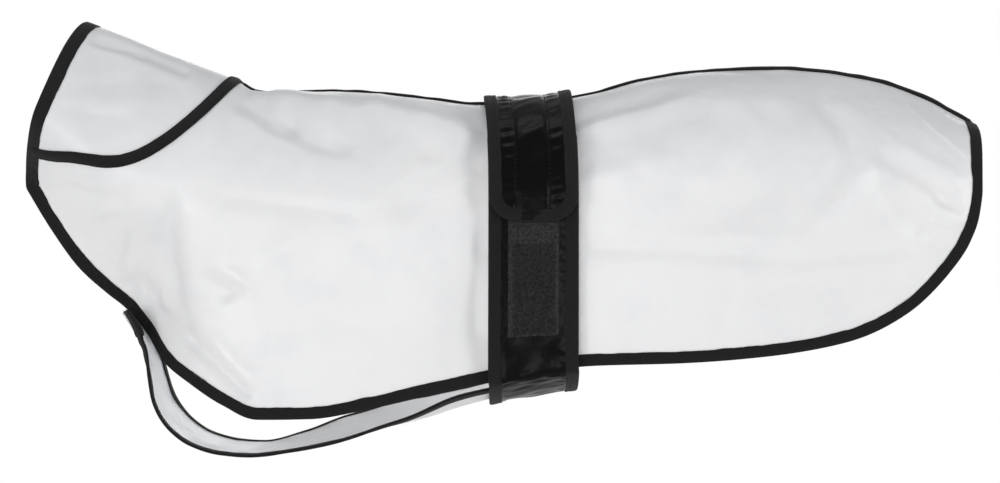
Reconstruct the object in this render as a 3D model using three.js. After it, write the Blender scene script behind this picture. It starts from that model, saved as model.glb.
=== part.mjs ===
// Dog raincoat of frosted film with black tape edges and a black girth belt.
// Millimetres, +X to the tail, +Z up, -Y the dog's left side. The origin lies on
// the inner face of the back, under the belt.

import * as THREE from 'three';

// Cloth thicknesses and clearances
const FILM = 1.0;
const TAPE = 1.0;
const BELT = 1.2;
const PILE = 1.0;
const GAP = 0.3;
const FOLD_GAP = 0.5;
const EDGE_GAP = 0.6;

// Tape: what it covers on each face, and its width where it lies flat
const TAPE_COVER = 5.7;
const FLAT_TAPE = 7.4;

// Belt and its closure
const BELT_HALF_WIDTH = 25.1;
const BELT_START = 0.3;
const BELT_END = 3.55;
const BELT_LIFT = 3.7;
const HOOK_LIFT = 6.8;
const FLAP_LIFT = 8.7;
const FLAP_CORNER = 15;
const GIRTH_UNIT = 194;
const BELLY_DROP = 14;
const LEVEL_RISE = 0.0007;
const BELT_LEAN = 2.8;
const CLOSURE_HALF_WIDTH = 15;

// How far the front rim bows forward of a straight line, at its middle and
// just above the throat
const RIM_BOW = 1.5;
const THROAT_BOW = 3.2;

// Film cuts
const TAIL_END = 27;
const COLLAR_END = 4.05;
const PANEL_ROWS = 12;
const COLLAR_ROWS = 6;
const COLLAR_COLUMNS = 13;

// Section on which the inner edge of the rim tape lies, the one at which the
// two front edges part, and those of the spine tape's end and the rear tape
const RIM_LEG = 0.27;
const CHEST_SPLIT = 4.22;
const SPINE_TAPE_END = 26.4;
const REAR_LEG = 26.58;

// Rows of a table become one list of values for each column name.
function table(names, rows) {
  const columns = {};
  names.forEach((name, i) => {
    columns[name] = rows.map((row) => row[i]);
  });
  return columns;
}

// Half sections of the coat from the spine down to the hem, neck first.
// top and hem: where the section meets the spine and the hem; half: greatest
// half width; depth: where that width is, as a share of the section (at 1 the
// section ends while it still widens); hemHalf: half width at the hem;
// roll: how far the back leans to the left side.
const SECTIONS = table(
  ['topX', 'topZ', 'hemX', 'hemZ', 'half', 'depth', 'hemHalf', 'roll'],
  [
    [-267.7, 49.6, -303.7, -49.9, 44, 0.54, 1.15, 0],
    [-244.8, 41.1, -288.9, -74.3, 46, 0.52, 1.15, 0],
    [-220.7, 31.2, -271.9, -97.6, 49, 0.5, 1.15, 0],
    [-197.8, 22.7, -256.2, -111.8, 52, 0.47, 1.15, 0],
    [-178.5, 15.2, -243.9, -121.5, 55, 0.44, 1.15, 0],
    [-166.4, 7.7, -230.6, -135.5, 57, 0.42, 11, 0],
    [-154.4, 6.1, -216.8, -153.2, 59, 0.42, 28, 0],
    [-141.1, 7.4, -199.9, -164.9, 61, 0.41, 42, 0],
    [-124.8, 7.7, -180.3, -176.3, 63, 0.4, 52, 0],
    [-108.5, 7.7, -159.3, -184.2, 65, 0.39, 58, 0],
    [-85.6, 5.8, -129.0, -183.6, 67, 0.38, 61, 0],
    [-60.3, 3.1, -91.4, -177.0, 67, 0.38, 62, 0],
    [-32.6, 0.1, -48.2, -167.1, 65, 0.38, 61, 0],
    [-0.0, 1.0, 0.9, -157.0, 62, 0.38, 60, 0],
    [35.0, 6.1, 32.6, -152.9, 64, 0.38, 62, 0],
    [68.1, 14.9, 84.3, -151.2, 68, 0.38, 65, 0.03],
    [101.3, 19.7, 135.9, -147.0, 70, 0.38, 67, 0.06],
    [134.5, 21.5, 181.9, -138.4, 70, 0.38, 67, 0.1],
    [150.8, 21.9, 214.8, -122.8, 68, 0.44, 64, 0.14],
    [165.2, 20.9, 239.2, -100.2, 64.5, 0.52, 60, 0.18],
    [178.5, 19.7, 251.9, -82.4, 60.5, 0.61, 56.5, 0.21],
    [193.0, 17.3, 258.3, -66.6, 56.5, 0.72, 52.5, 0.25],
    [206.2, 14.9, 260.7, -51.1, 52, 0.86, 49.6, 0.28],
    [218.3, 11.4, 260.7, -38.8, 48.6, 1, 48.6, 0.31],
    [229.1, 7.4, 261.7, -27.2, 47.8, 1, 42, 0.34],
    [240.0, 2.8, 262.8, -19.1, 47.8, 1, 32, 0.36],
    [251.5, -3.5, 263.7, -14.4, 47.8, 1, 20, 0.37],
    [265.9, -11.2, 266.0, -11.4, 47.8, 1, 0.6, 0.37],
  ],
);

// Collar seam on one side, from the neck rim up to the spine: section number
// and share of the way down the side.
const COLLAR_SEAM = table(
  ['section', 'down'],
  [
    [0, 0.83],
    [0.7, 0.74],
    [1.24, 0.67],
    [1.66, 0.625],
    [2.04, 0.592],
    [2.4, 0.558],
    [2.72, 0.52],
    [3.05, 0.47],
    [3.33, 0.418],
    [3.58, 0.356],
    [3.8, 0.281],
    [3.95, 0.187],
    [4.03, 0.09],
    [COLLAR_END, 0],
  ],
);

// Largest folds: side (-1 left, 1 right), the line of each as seen from the
// side, how wide it is and how far it stands out or, below zero, in.
const FOLDS = table(
  ['side', 'fromX', 'fromZ', 'toX', 'toZ', 'width', 'height'],
  [
    [-1, -168, -3, -129, -21, 8, -3.5],
    [-1, -150, 4, -108, -3, 7, 2.2],
    [-1, -66, -8, -42, -18, 6, -2.2],
    [-1, 43, -12, 76, 4, 6, -1.8],
    [-1, 43, -30, 92, -5, 6, 1.6],
    [-1, 45, -48, 96, -21, 7, -1.5],
    [-1, 125, -67, 194, -24, 9, -2.2],
    [-1, 46, -89, 150, -91, 8, -1.4],
    [1, -160, -8, -122, -26, 8, -3.0],
    [1, -74, -11, -44, -22, 6, -1.9],
    [1, 46, -20, 86, 1, 7, -1.7],
    [1, 46, -54, 104, -28, 7, -1.4],
    [1, 110, -72, 176, -34, 10, -2.0],
  ],
);

// Middle line of the bib from the chest to the belt: half width, how far its
// middle hangs below its edges, and how far its right edge lies over its left.
const BIB = table(
  ['x', 'z', 'half', 'dish', 'tilt'],
  [
    [-244.6, -120.5, 20, 5, 0],
    [-233.0, -138.0, 24, 5, 0],
    [-228.4, -148.0, 29, 4, 0],
    [-226.0, -161.3, 36, 2, 0],
    [-222.7, -175.0, 42, 2, 0],
    [-215.0, -188.7, 47, 1, 0],
    [-199.9, -200.7, 49, 0, 0],
    [-182.3, -205.9, 50, 0, 0],
    [-164.8, -207.3, 50, 0, 0.2],
    [-138.6, -204.1, 50, 0, 3.8],
    [-112.5, -198.7, 49, 1, 8.0],
    [-86.3, -189.7, 48, 5, 8.0],
    [-60.1, -181.3, 48, 8, 5.5],
    [-33.9, -170.5, 48, 9, 0.6],
    [-8, -166, 48, 9, 0],
    [17, -162, 48, 9, 0],
  ],
);

// Column value at any section number, smooth and without overshoot.
function valueAt(values, position) {
  const last = values.length - 1;
  const place = Math.min(Math.max(position, 0), last);
  const i = Math.min(Math.floor(place), last - 1);
  const f = place - i;
  const slope = (k) => {
    if (k === 0) return values[1] - values[0];
    if (k === last) return values[last] - values[last - 1];
    const before = values[k] - values[k - 1];
    const after = values[k + 1] - values[k];
    return before * after <= 0 ? 0 : (2 * before * after) / (before + after);
  };
  const ease = f * f * (3 - 2 * f);
  const rise = f * (1 - f) * (1 - f);
  const fall = f * f * (f - 1);
  return values[i] * (1 - ease) + values[i + 1] * ease + slope(i) * rise + slope(i + 1) * fall;
}

function smooth(from, to, x) {
  const t = Math.min(Math.max((x - from) / (to - from), 0), 1);
  return t * t * (3 - 2 * t);
}

// Smooth body form at section s; w runs from -1, the left hem, over 0, the
// spine, to 1, the right hem.
function bodyForm(s, w) {
  const row = {};
  Object.keys(SECTIONS).forEach((name) => {
    row[name] = valueAt(SECTIONS[name], s);
  });
  const side = w < 0 ? -1 : 1;
  const down = Math.abs(w);
  const dx = row.hemX - row.topX;
  const dz = row.hemZ - row.topZ;
  const length = Math.hypot(dx, dz);
  let share = 0;
  let y = 0;
  if (row.depth < 1) {
    const round = (Math.PI / 2) * Math.sqrt((row.half ** 2 + (row.depth * length) ** 2) / 2);
    const widest = round / (round + (1 - row.depth) * length);
    const angle = (Math.min(down / widest, 1) * Math.PI) / 2;
    const t = Math.max(0, (down - widest) / (1 - widest));
    share = row.depth * (1 - Math.cos(angle)) + (1 - row.depth) * t;
    y = row.half * Math.sin(angle) + ((row.hemHalf - row.half) * (1 - Math.cos(Math.PI * t))) / 2;
  } else {
    const end = Math.asin(Math.min(1, row.hemHalf / row.half));
    share = (1 - Math.cos(down * end)) / (1 - Math.cos(end));
    y = row.half * Math.sin(down * end);
  }
  const round = (RIM_BOW * share ** 0.6 * (1 - share)) / 0.345;
  const throat = (THROAT_BOW * share ** 5 * (1 - share)) / 0.067;
  const bow = Math.max(0, 1 - s / 4) * (round + throat);
  return new THREE.Vector3(
    row.topX + share * dx + (bow * dz) / length,
    side * y,
    row.topZ + share * dz - (bow * dx) / length + row.roll * side * y * (1 - share),
  );
}

// Outward normal of a surface given as a function of two numbers.
function normalOf(surface, a, b, rangeA, rangeB, stepA, stepB) {
  const clamp = (value, range) => Math.min(Math.max(value, range[0]), range[1]);
  const alongA = surface(clamp(a + stepA, rangeA), b).sub(surface(clamp(a - stepA, rangeA), b));
  const alongB = surface(a, clamp(b + stepB, rangeB)).sub(surface(a, clamp(b - stepB, rangeB)));
  return alongA.cross(alongB).normalize();
}

// Height of the folds at a point of one side.
function foldHeight(point) {
  let height = 0;
  FOLDS.side.forEach((side, i) => {
    if (side * point.y <= 0) return;
    const ax = FOLDS.fromX[i];
    const az = FOLDS.fromZ[i];
    const bx = FOLDS.toX[i] - ax;
    const bz = FOLDS.toZ[i] - az;
    const t = ((point.x - ax) * bx + (point.z - az) * bz) / (bx * bx + bz * bz);
    const near = Math.min(Math.max(t, 0), 1);
    const away = Math.hypot(point.x - ax - near * bx, point.z - az - near * bz);
    const inset = smooth(0, 18, Math.abs(point.y));
    height += FOLDS.height[i] * inset * Math.exp(-0.5 * (away / FOLDS.width[i]) ** 2);
  });
  return height;
}

const ALL_SECTIONS = [0, TAIL_END];
const ALL_ROUND = [-1, 1];

// Outer face of the coat with its folds.
function bodyPoint(s, w) {
  const point = bodyForm(s, w);
  const height = foldHeight(point);
  if (Math.abs(height) < 0.02) return point;
  const normal = normalOf(bodyForm, s, w, ALL_SECTIONS, ALL_ROUND, 0.02, 0.004);
  return point.addScaledVector(normal, height);
}

function bodyNormal(s, w) {
  return normalOf(bodyPoint, s, w, ALL_SECTIONS, ALL_ROUND, 0.02, 0.004);
}

function onBody(s, w) {
  return { point: bodyPoint(s, w), normal: bodyNormal(s, w) };
}

// Place on a surface at a distance from another in a given direction.
function travel(surface, place, direction, distance) {
  let [a, b] = place;
  const count = 4;
  for (let i = 0; i < count; i += 1) {
    const here = surface(a, b);
    const stepA = a > TAIL_END / 2 ? -0.01 : 0.01;
    const stepB = b > 0 ? -0.004 : 0.004;
    const da = surface(a + stepA, b).sub(here).divideScalar(stepA);
    const db = surface(a, b + stepB).sub(here).divideScalar(stepB);
    const aa = da.dot(da);
    const ab = da.dot(db);
    const bb = db.dot(db);
    const ra = direction.dot(da);
    const rb = direction.dot(db);
    const scale = distance / count / (aa * bb - ab * ab);
    a += (ra * bb - rb * ab) * scale;
    b += (rb * aa - ra * ab) * scale;
  }
  return [a, b];
}

// Section number at which the coat crosses x, at one height round the body.
function sectionAt(x, w) {
  let low = 8;
  let high = 17;
  for (let i = 0; i < 26; i += 1) {
    const middle = (low + high) / 2;
    if (bodyPoint(middle, w).x < x) {
      low = middle;
    } else {
      high = middle;
    }
  }
  return (low + high) / 2;
}

// Height of the belly line under the belt, between the two hems.
function bellyHeight(x, y) {
  const left = bodyPoint(sectionAt(x, -1), -1);
  const half = Math.abs(left.y);
  return left.z - BELLY_DROP * Math.max(0, 1 - (y / half) ** 2) ** 0.75;
}

// Line round the body that the belt follows at x. Turns: 0 spine, 1 left hem,
// 2 right hem, 3 spine again, then down the left side a second time. Over the
// back the belt leans forward.
function girthPoint(x, turn) {
  if (turn > 1 && turn < 2) {
    const left = bodyPoint(sectionAt(x, -1), -1);
    const y = left.y * Math.cos((turn - 1) * Math.PI);
    return new THREE.Vector3(x, y, bellyHeight(x, y));
  }
  let w = -turn;
  if (turn >= 2) w = 3 - turn;
  const down = Math.abs(w);
  w += Math.sign(w) * LEVEL_RISE * x * smooth(0.1, 0.4, down) * (1 - smooth(0.86, 1, down));
  const lean = BELT_LEAN * (1 - smooth(0, 0.42, down));
  return bodyPoint(sectionAt(x - lean, w), w);
}

const BELT_X = [-BELT_HALF_WIDTH, BELT_HALF_WIDTH];
const BELT_TURNS = [BELT_START, BELT_END];

// The belt lies low round the body. It stands off more where it turns round
// the two hems, and rises where its flap covers its start.
function beltLift(turn) {
  const hems = Math.exp(-(((turn - 1) / 0.07) ** 2)) + Math.exp(-(((turn - 2) / 0.07) ** 2));
  return BELT_LIFT + 0.9 * hems + (FLAP_LIFT - BELT_LIFT) * smooth(2.94, 3.27, turn);
}

function onBelt(x, turn, lift) {
  const normal = normalOf(girthPoint, x, turn, [-99, 99], [0, 4], 2, 0.012).negate();
  return { point: girthPoint(x, turn).addScaledVector(normal, lift), normal };
}

// Outer face of the bib; u is the row of its table, across runs from -1 to 1.
function bibPoint(u, across) {
  const x = valueAt(BIB.x, u);
  const z = valueAt(BIB.z, u);
  const y = across * valueAt(BIB.half, u);
  const dx = valueAt(BIB.x, u + 0.02) - valueAt(BIB.x, u - 0.02);
  const dz = valueAt(BIB.z, u + 0.02) - valueAt(BIB.z, u - 0.02);
  const dish = (valueAt(BIB.dish, u) * (1 - across * across)) / Math.hypot(dx, dz);
  const tilt = (valueAt(BIB.tilt, u) * (1 + across)) / 2;
  const hung = new THREE.Vector3(x + dish * dz, y, z - dish * dx + tilt);
  const held = smooth(-78, -30, x);
  if (held > 0) hung.z += held * (bellyHeight(x, y) + 0.3 - hung.z);
  return hung;
}

function onBib(u, across) {
  const normal = normalOf(bibPoint, u, across, [0, 15], [-1, 1], 0.02, 0.02).negate();
  return { point: bibPoint(u, across), normal };
}

// Triangles of a mesh are kept as a plain list of corner points, each to the
// nearest 0.01 mm, so that corners which meet are the same point.
function addQuad(triangles, a, b, c, d) {
  const corners = [a, b, c, d].map((point) => new THREE.Vector3(
    Math.round(point.x * 100) / 100,
    Math.round(point.y * 100) / 100,
    Math.round(point.z * 100) / 100,
  ));
  [[0, 1, 2], [0, 2, 3]].forEach(([i, j, k]) => {
    const p = corners[i];
    const q = corners[j];
    const r = corners[k];
    if (!p.equals(q) && !q.equals(r) && !r.equals(p)) triangles.push(p, q, r);
  });
}

function buildMesh(name, triangles, material) {
  let volume = 0;
  for (let i = 0; i < triangles.length; i += 3) {
    volume += triangles[i].dot(triangles[i + 1].clone().cross(triangles[i + 2]));
  }
  const values = [];
  for (let i = 0; i < triangles.length; i += 3) {
    const face = [triangles[i], triangles[i + 1], triangles[i + 2]];
    if (volume < 0) face.reverse();
    face.forEach((point) => values.push(point.x, point.y, point.z));
  }
  const geometry = new THREE.BufferGeometry();
  geometry.setAttribute('position', new THREE.Float32BufferAttribute(values, 3));
  geometry.computeVertexNormals();
  const mesh = new THREE.Mesh(geometry, material);
  mesh.name = name;
  return mesh;
}

// Wall of cloth on a grid of surface places, from lift to lift + thickness.
function wall(grid, lift, thickness) {
  const triangles = [];
  const moved = (height) => grid.map((column) => column.map(
    (place) => place.point.clone().addScaledVector(place.normal, height),
  ));
  const inner = moved(lift);
  const outer = moved(lift + thickness);
  const columns = grid.length;
  const rows = grid[0].length;
  for (let i = 0; i + 1 < columns; i += 1) {
    for (let j = 0; j + 1 < rows; j += 1) {
      addQuad(triangles, outer[i][j], outer[i + 1][j], outer[i + 1][j + 1], outer[i][j + 1]);
      addQuad(triangles, inner[i][j], inner[i][j + 1], inner[i + 1][j + 1], inner[i + 1][j]);
    }
    const end = rows - 1;
    addQuad(triangles, outer[i + 1][0], outer[i][0], inner[i][0], inner[i + 1][0]);
    addQuad(triangles, outer[i][end], outer[i + 1][end], inner[i + 1][end], inner[i][end]);
  }
  const last = columns - 1;
  for (let j = 0; j + 1 < rows; j += 1) {
    addQuad(triangles, outer[0][j], outer[0][j + 1], inner[0][j + 1], inner[0][j]);
    addQuad(triangles, outer[last][j + 1], outer[last][j], inner[last][j], inner[last][j + 1]);
  }
  return triangles;
}

// Body swept through rings of eight points, the section of a folded tape.
function sweep(rings) {
  const triangles = [];
  const count = rings[0].length;
  for (let i = 0; i + 1 < rings.length; i += 1) {
    for (let k = 0; k < count; k += 1) {
      const next = (k + 1) % count;
      addQuad(triangles, rings[i][k], rings[i][next], rings[i + 1][next], rings[i + 1][k]);
    }
  }
  [[0, 1, 2, 7], [7, 2, 3, 6], [6, 3, 4, 5]].forEach(([a, b, c, d]) => {
    const first = rings[0];
    const last = rings[rings.length - 1];
    addQuad(triangles, first[d], first[c], first[b], first[a]);
    addQuad(triangles, last[a], last[b], last[c], last[d]);
  });
  return triangles;
}

// Ring of a tape folded over one edge. edge and leg are places on the outer
// face; out points away from the cloth past the edge.
function foldedRing(edge, leg, out, cloth) {
  const at = (place, height, past) => place.point.clone()
    .addScaledVector(place.normal, height)
    .addScaledVector(out, past);
  const outside = FOLD_GAP + TAPE;
  const bend = 0.8 * outside;
  return [
    at(leg, FOLD_GAP, 0),
    at(leg, outside, 0),
    at(edge, bend, outside),
    at(edge, -cloth - bend, outside),
    at(leg, -cloth - outside, 0),
    at(leg, -cloth - FOLD_GAP, 0),
    at(edge, -cloth - FOLD_GAP, EDGE_GAP),
    at(edge, FOLD_GAP, EDGE_GAP),
  ];
}

// Ring of a tape folded over two edges that lie face to face.
function jointRing(left, leftLeg, right, rightLeg, out) {
  const at = (place, height, past) => place.point.clone()
    .addScaledVector(place.normal, height)
    .addScaledVector(out, past);
  const outside = FOLD_GAP + TAPE;
  const bend = 0.8 * outside;
  return [
    at(leftLeg, FOLD_GAP, 0),
    at(leftLeg, outside, 0),
    at(left, bend, outside),
    at(right, bend, outside),
    at(rightLeg, outside, 0),
    at(rightLeg, FOLD_GAP, 0),
    at(right, FOLD_GAP, EDGE_GAP),
    at(left, FOLD_GAP, EDGE_GAP),
  ];
}

// Direction past an edge: square to its path, in the face of the cloth.
function pastEdge(before, after, normal, outward) {
  const path = after.clone().sub(before).normalize();
  const out = path.cross(normal).normalize();
  return out.dot(outward) < 0 ? out.negate() : out;
}

// Direction past the hem at a section, in the face of the cloth.
function pastHem(s, side) {
  const before = bodyPoint(Math.max(s - 0.05, 0), side);
  const after = bodyPoint(Math.min(s + 0.05, TAIL_END), side);
  const outward = bodyPoint(s, side).sub(bodyPoint(s, side * 0.94));
  return pastEdge(before, after, bodyNormal(s, side), outward);
}

// Where the inner edge of the tape lies for a place [s, w] on the coat's edge.
function legPlace([s, w]) {
  if (Math.abs(w) === 1) {
    const from = Math.max(s, RIM_LEG);
    return travel(bodyForm, [from, w], pastHem(from, w), -TAPE_COVER);
  }
  return s < 1 ? [RIM_LEG, w] : [REAR_LEG, w];
}

// Direction past the coat's edge at one of the places along it.
function pastPlace(places, i) {
  const [s, w] = places[i];
  const before = places[Math.max(i - 1, 0)];
  const after = places[Math.min(i + 1, places.length - 1)];
  const leg = legPlace(places[i]);
  return pastEdge(
    bodyPoint(before[0], before[1]),
    bodyPoint(after[0], after[1]),
    bodyNormal(s, w),
    bodyPoint(s, w).sub(bodyPoint(leg[0], leg[1])),
  );
}

// Folded tape along places [s, w] of the coat's edge.
function edgeTape(places) {
  return sweep(places.map((place, i) => {
    const leg = legPlace(place);
    return foldedRing(onBody(place[0], place[1]), onBody(leg[0], leg[1]), pastPlace(places, i), FILM);
  }));
}

const MATERIALS = {
  film: { color: 0xe3e7ea, roughness: 0.4, metalness: 0 },
  tape: { color: 0x17181b, roughness: 0.8, metalness: 0 },
  belt: { color: 0x111215, roughness: 0.45, metalness: 0 },
  pile: { color: 0x1d1e21, roughness: 0.95, metalness: 0 },
};

function material(name) {
  return new THREE.MeshStandardMaterial({ ...MATERIALS[name], name });
}

// Section numbers of the columns behind the collar seam, closer together
// where the hem turns round the chest and under the belt.
function columnPlaces() {
  const spans = [
    [COLLAR_END, 6, 6],
    [6, 12, 8],
    [12, 14, 6],
    [14, 20, 9],
    [20, 22, 4],
    [22, 24, 8],
    [24, 26.5, 6],
    [26.5, TAIL_END, 2],
  ];
  const places = [COLLAR_END];
  spans.forEach(([from, to, count]) => {
    for (let i = 1; i <= count; i += 1) places.push(from + ((to - from) * i) / count);
  });
  return places;
}

const BACK_PLACES = columnPlaces();

function seamPlace(share, side) {
  const position = share * (COLLAR_SEAM.section.length - 1);
  return [valueAt(COLLAR_SEAM.section, position), side * valueAt(COLLAR_SEAM.down, position)];
}

// How far from the spine line a panel's edge lies.
function spineEdge(s, side) {
  return (side * 0.01 * 0.7 * GAP) / bodyPoint(s, 0.01).distanceTo(bodyPoint(s, 0));
}

// Side panel: its columns start on the collar seam, then on the spine seam.
// The last row but one lies under the inner edge of the hem tape.
function panelGrid(side) {
  const column = (top, bottom) => {
    const ends = bottom[0] === 0 || bottom[0] > TAIL_END - 0.1;
    const leg = ends ? [bottom[0], bottom[1] * 0.95] : legPlace(bottom);
    const places = [];
    for (let j = 0; j < PANEL_ROWS; j += 1) {
      const f = j / (PANEL_ROWS - 1);
      places.push([top[0] + f * (leg[0] - top[0]), top[1] + f * (leg[1] - top[1])]);
    }
    places.push(bottom);
    return places.map(([s, w]) => onBody(s, w));
  };
  const columns = [];
  [0, 0.03, 0.1, 0.2, 0.3, 0.4, 0.5, 0.6, 0.7, 0.8, 0.9].forEach((share) => {
    const seam = seamPlace(share, side);
    const s = share === 0.03 ? RIM_LEG : COLLAR_END * share;
    columns.push(column([seam[0] + 0.012 * share, seam[1] + 0.0022 * side * (1 - share)], [s, side]));
  });
  BACK_PLACES.forEach((s) => {
    const top = s === COLLAR_END ? s + 0.016 : Math.min(s, TAIL_END - 0.05);
    columns.push(column([top, spineEdge(top, side)], [Math.min(s, TAIL_END - 0.05), side]));
  });
  return columns;
}

// Collar: columns run from the neck rim to the collar seam.
function collarGrid() {
  const columns = [];
  for (let i = 0; i <= COLLAR_COLUMNS * 2; i += 1) {
    const across = i / COLLAR_COLUMNS - 1;
    const side = across < 0 ? -1 : 1;
    const seam = seamPlace(1 - Math.abs(across), side);
    const rim = Math.abs(across) * COLLAR_SEAM.down[0] * side * 0.996;
    const tip = Math.abs(across) === 1;
    const column = [onBody(0, rim)];
    for (let j = 0; j < COLLAR_ROWS; j += 1) {
      const f = j / (COLLAR_ROWS - 1);
      const s = RIM_LEG + f * (seam[0] - 0.02 - RIM_LEG);
      const w = rim + f * (seam[1] * 0.996 - rim);
      column.push(tip ? onBody(0, rim) : onBody(s, w));
    }
    columns.push(column);
  }
  return columns;
}

// Flat tape over the spine seam, from the collar tape to the hem tape.
function spineTapeGrid() {
  const between = BACK_PLACES.filter((s) => s > 4.5 && s < SPINE_TAPE_END - 0.1);
  const places = [COLLAR_END + 0.38, ...between, SPINE_TAPE_END];
  return places.map((s) => {
    const here = bodyPoint(s, 0);
    const perUnit = bodyPoint(s, 0.01).distanceTo(here) / 0.01;
    const half = FLAT_TAPE / 2 / perUnit;
    return [-half, 0, half].map((w) => onBody(s, w));
  });
}

// Flat tape over the collar seam, from rim tape to rim tape over the nape.
function collarTapeGrid() {
  const columns = [];
  const count = 44;
  for (let i = 0; i <= count; i += 1) {
    const across = -1 + (2 * i) / count;
    const side = across < 0 ? -1 : 1;
    const reach = 0.952;
    const share = 1 - Math.abs(across) * reach;
    const seam = seamPlace(share, side);
    const ahead = seamPlace(Math.min(share + 0.02, 1), side);
    const behind = seamPlace(share - 0.02, side);
    const normal = bodyNormal(seam[0], seam[1]);
    let path = bodyPoint(ahead[0], ahead[1]).sub(bodyPoint(behind[0], behind[1])).multiplyScalar(-side);
    if (Math.abs(across) < 1e-6) path = new THREE.Vector3(0, 1, 0);
    const square = path.normalize().cross(normal);
    const front = travel(bodyForm, seam, square, FLAT_TAPE / 2);
    const back = travel(bodyForm, seam, square, -FLAT_TAPE / 2);
    columns.push([onBody(front[0], front[1]), onBody(seam[0], seam[1]), onBody(back[0], back[1])]);
  }
  return columns;
}

// Tape round the neck rim, over the nape; it ends above the throat.
const RIM_TAPE_END = 0.93;

function rimPlaces() {
  const rows = [];
  const seam = COLLAR_SEAM.down[0] * 0.996;
  for (let i = -COLLAR_COLUMNS; i <= COLLAR_COLUMNS; i += 1) rows.push((i * seam) / COLLAR_COLUMNS);
  [0.87, 0.9, RIM_TAPE_END].forEach((w) => rows.push(w, -w));
  return rows.sort((a, b) => a - b).map((w) => [0, w]);
}

// Tape that binds both front edges: round the throat, then down to the chest.
function frontTape() {
  const places = [[0, 0.939], [0, 0.95], [0, 1], [RIM_LEG, 1]];
  for (let i = 1; i <= 10; i += 1) places.push([(COLLAR_END * i) / 10, 1]);
  places.push([CHEST_SPLIT, 1]);
  return sweep(places.map((place, i) => {
    const before = places[Math.max(i - 1, 0)];
    const after = places[Math.min(i + 1, places.length - 1)];
    const path = bodyPoint(after[0], after[1]).sub(bodyPoint(before[0], before[1]));
    const out = new THREE.Vector3(path.z, 0, -path.x).normalize();
    const [leg] = [legPlace(place)];
    if (out.dot(bodyPoint(leg[0], leg[1]).sub(bodyPoint(place[0], place[1]))) > 0) out.negate();
    return jointRing(
      onBody(place[0], -place[1]),
      onBody(leg[0], -leg[1]),
      onBody(place[0], place[1]),
      onBody(leg[0], leg[1]),
      out,
    );
  }));
}

// Tape round the hem, from the chest round the tail and back to the chest.
function hemPlaces() {
  const behind = BACK_PLACES.filter((s) => s > CHEST_SPLIT + 0.1 && s < TAIL_END);
  const left = [CHEST_SPLIT + 0.03, ...behind].map((s) => [s, -1]);
  const right = [...left].reverse().map(([s]) => [s, 1]);
  return [...left, [TAIL_END, 0], ...right];
}

// Where the rounded flap ends at x.
function beltEnd(x) {
  const corner = Math.max(0, Math.abs(x) - (BELT_HALF_WIDTH - FLAP_CORNER));
  const drop = FLAP_CORNER - Math.sqrt(Math.max(0, FLAP_CORNER ** 2 - corner ** 2));
  return BELT_END - drop / GIRTH_UNIT;
}

function cornerAngles() {
  return [0, 30, 60, 90].map((degrees) => (degrees * Math.PI) / 180);
}

const BELT_ROWS = 46;
const CORNER_TURN = BELT_END - FLAP_CORNER / GIRTH_UNIT;

function beltRow(i) {
  return BELT_START + ((CORNER_TURN - BELT_START) * i) / BELT_ROWS;
}

function beltGrid() {
  const flat = BELT_HALF_WIDTH - FLAP_CORNER;
  const half = cornerAngles().map((angle) => flat + FLAP_CORNER * Math.cos(angle));
  const across = [...half.map((x) => -x), 0, ...half.reverse()];
  return across.map((x) => {
    const column = [];
    for (let i = 0; i <= BELT_ROWS; i += 1) column.push(onBelt(x, beltRow(i), beltLift(beltRow(i))));
    [0.5, 1].forEach((f) => {
      const turn = CORNER_TURN + (beltEnd(x) - CORNER_TURN) * f;
      column.push(onBelt(x, turn, beltLift(turn)));
    });
    return column;
  });
}

// Tape round the belt: down its front edge, round the flap, up its rear edge.
function beltTape() {
  const rings = [];
  const addRing = (side, x, turn, legX, legTurn) => {
    const edge = onBelt(side * x, turn, beltLift(turn) + BELT);
    const leg = onBelt(side * legX, legTurn, beltLift(legTurn) + BELT);
    const out = edge.point.clone().sub(leg.point);
    out.addScaledVector(edge.normal, -out.dot(edge.normal)).normalize();
    rings.push(foldedRing(edge, leg, out, BELT));
  };
  const flat = BELT_HALF_WIDTH - FLAP_CORNER;
  const straight = (side, i) => {
    addRing(side, BELT_HALF_WIDTH, beltRow(i), BELT_HALF_WIDTH - TAPE_COVER, beltRow(i));
  };
  const corner = (side, angle) => {
    const inner = FLAP_CORNER - TAPE_COVER;
    addRing(
      side,
      flat + FLAP_CORNER * Math.cos(angle),
      CORNER_TURN + (FLAP_CORNER * Math.sin(angle)) / GIRTH_UNIT,
      flat + inner * Math.cos(angle),
      CORNER_TURN + (inner * Math.sin(angle)) / GIRTH_UNIT,
    );
  };
  for (let i = 0; i < BELT_ROWS; i += 1) straight(-1, i);
  cornerAngles().forEach((angle) => corner(-1, angle));
  addRing(1, 0, BELT_END, 0, BELT_END - TAPE_COVER / GIRTH_UNIT);
  cornerAngles().reverse().forEach((angle) => corner(1, angle));
  for (let i = BELT_ROWS - 1; i >= 0; i -= 1) straight(1, i);
  return sweep(rings);
}

// Strip of the closure on the belt, between two turns.
function closureGrid(fromTurn, toTurn, lift) {
  const columns = [];
  [-1, -0.33, 0.33, 1].forEach((across) => {
    const column = [];
    for (let i = 0; i <= 12; i += 1) {
      column.push(onBelt(CLOSURE_HALF_WIDTH * across, fromTurn + ((toTurn - fromTurn) * i) / 12, lift));
    }
    columns.push(column);
  });
  return columns;
}

const BIB_ROWS = 34;

function bibRow(i) {
  return (15 * i) / BIB_ROWS;
}

function bibGrid() {
  const columns = [];
  for (let i = 0; i <= BIB_ROWS; i += 1) {
    columns.push([-1, -0.72, -0.36, 0, 0.36, 0.72, 1].map((across) => onBib(bibRow(i), across)));
  }
  return columns;
}

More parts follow.
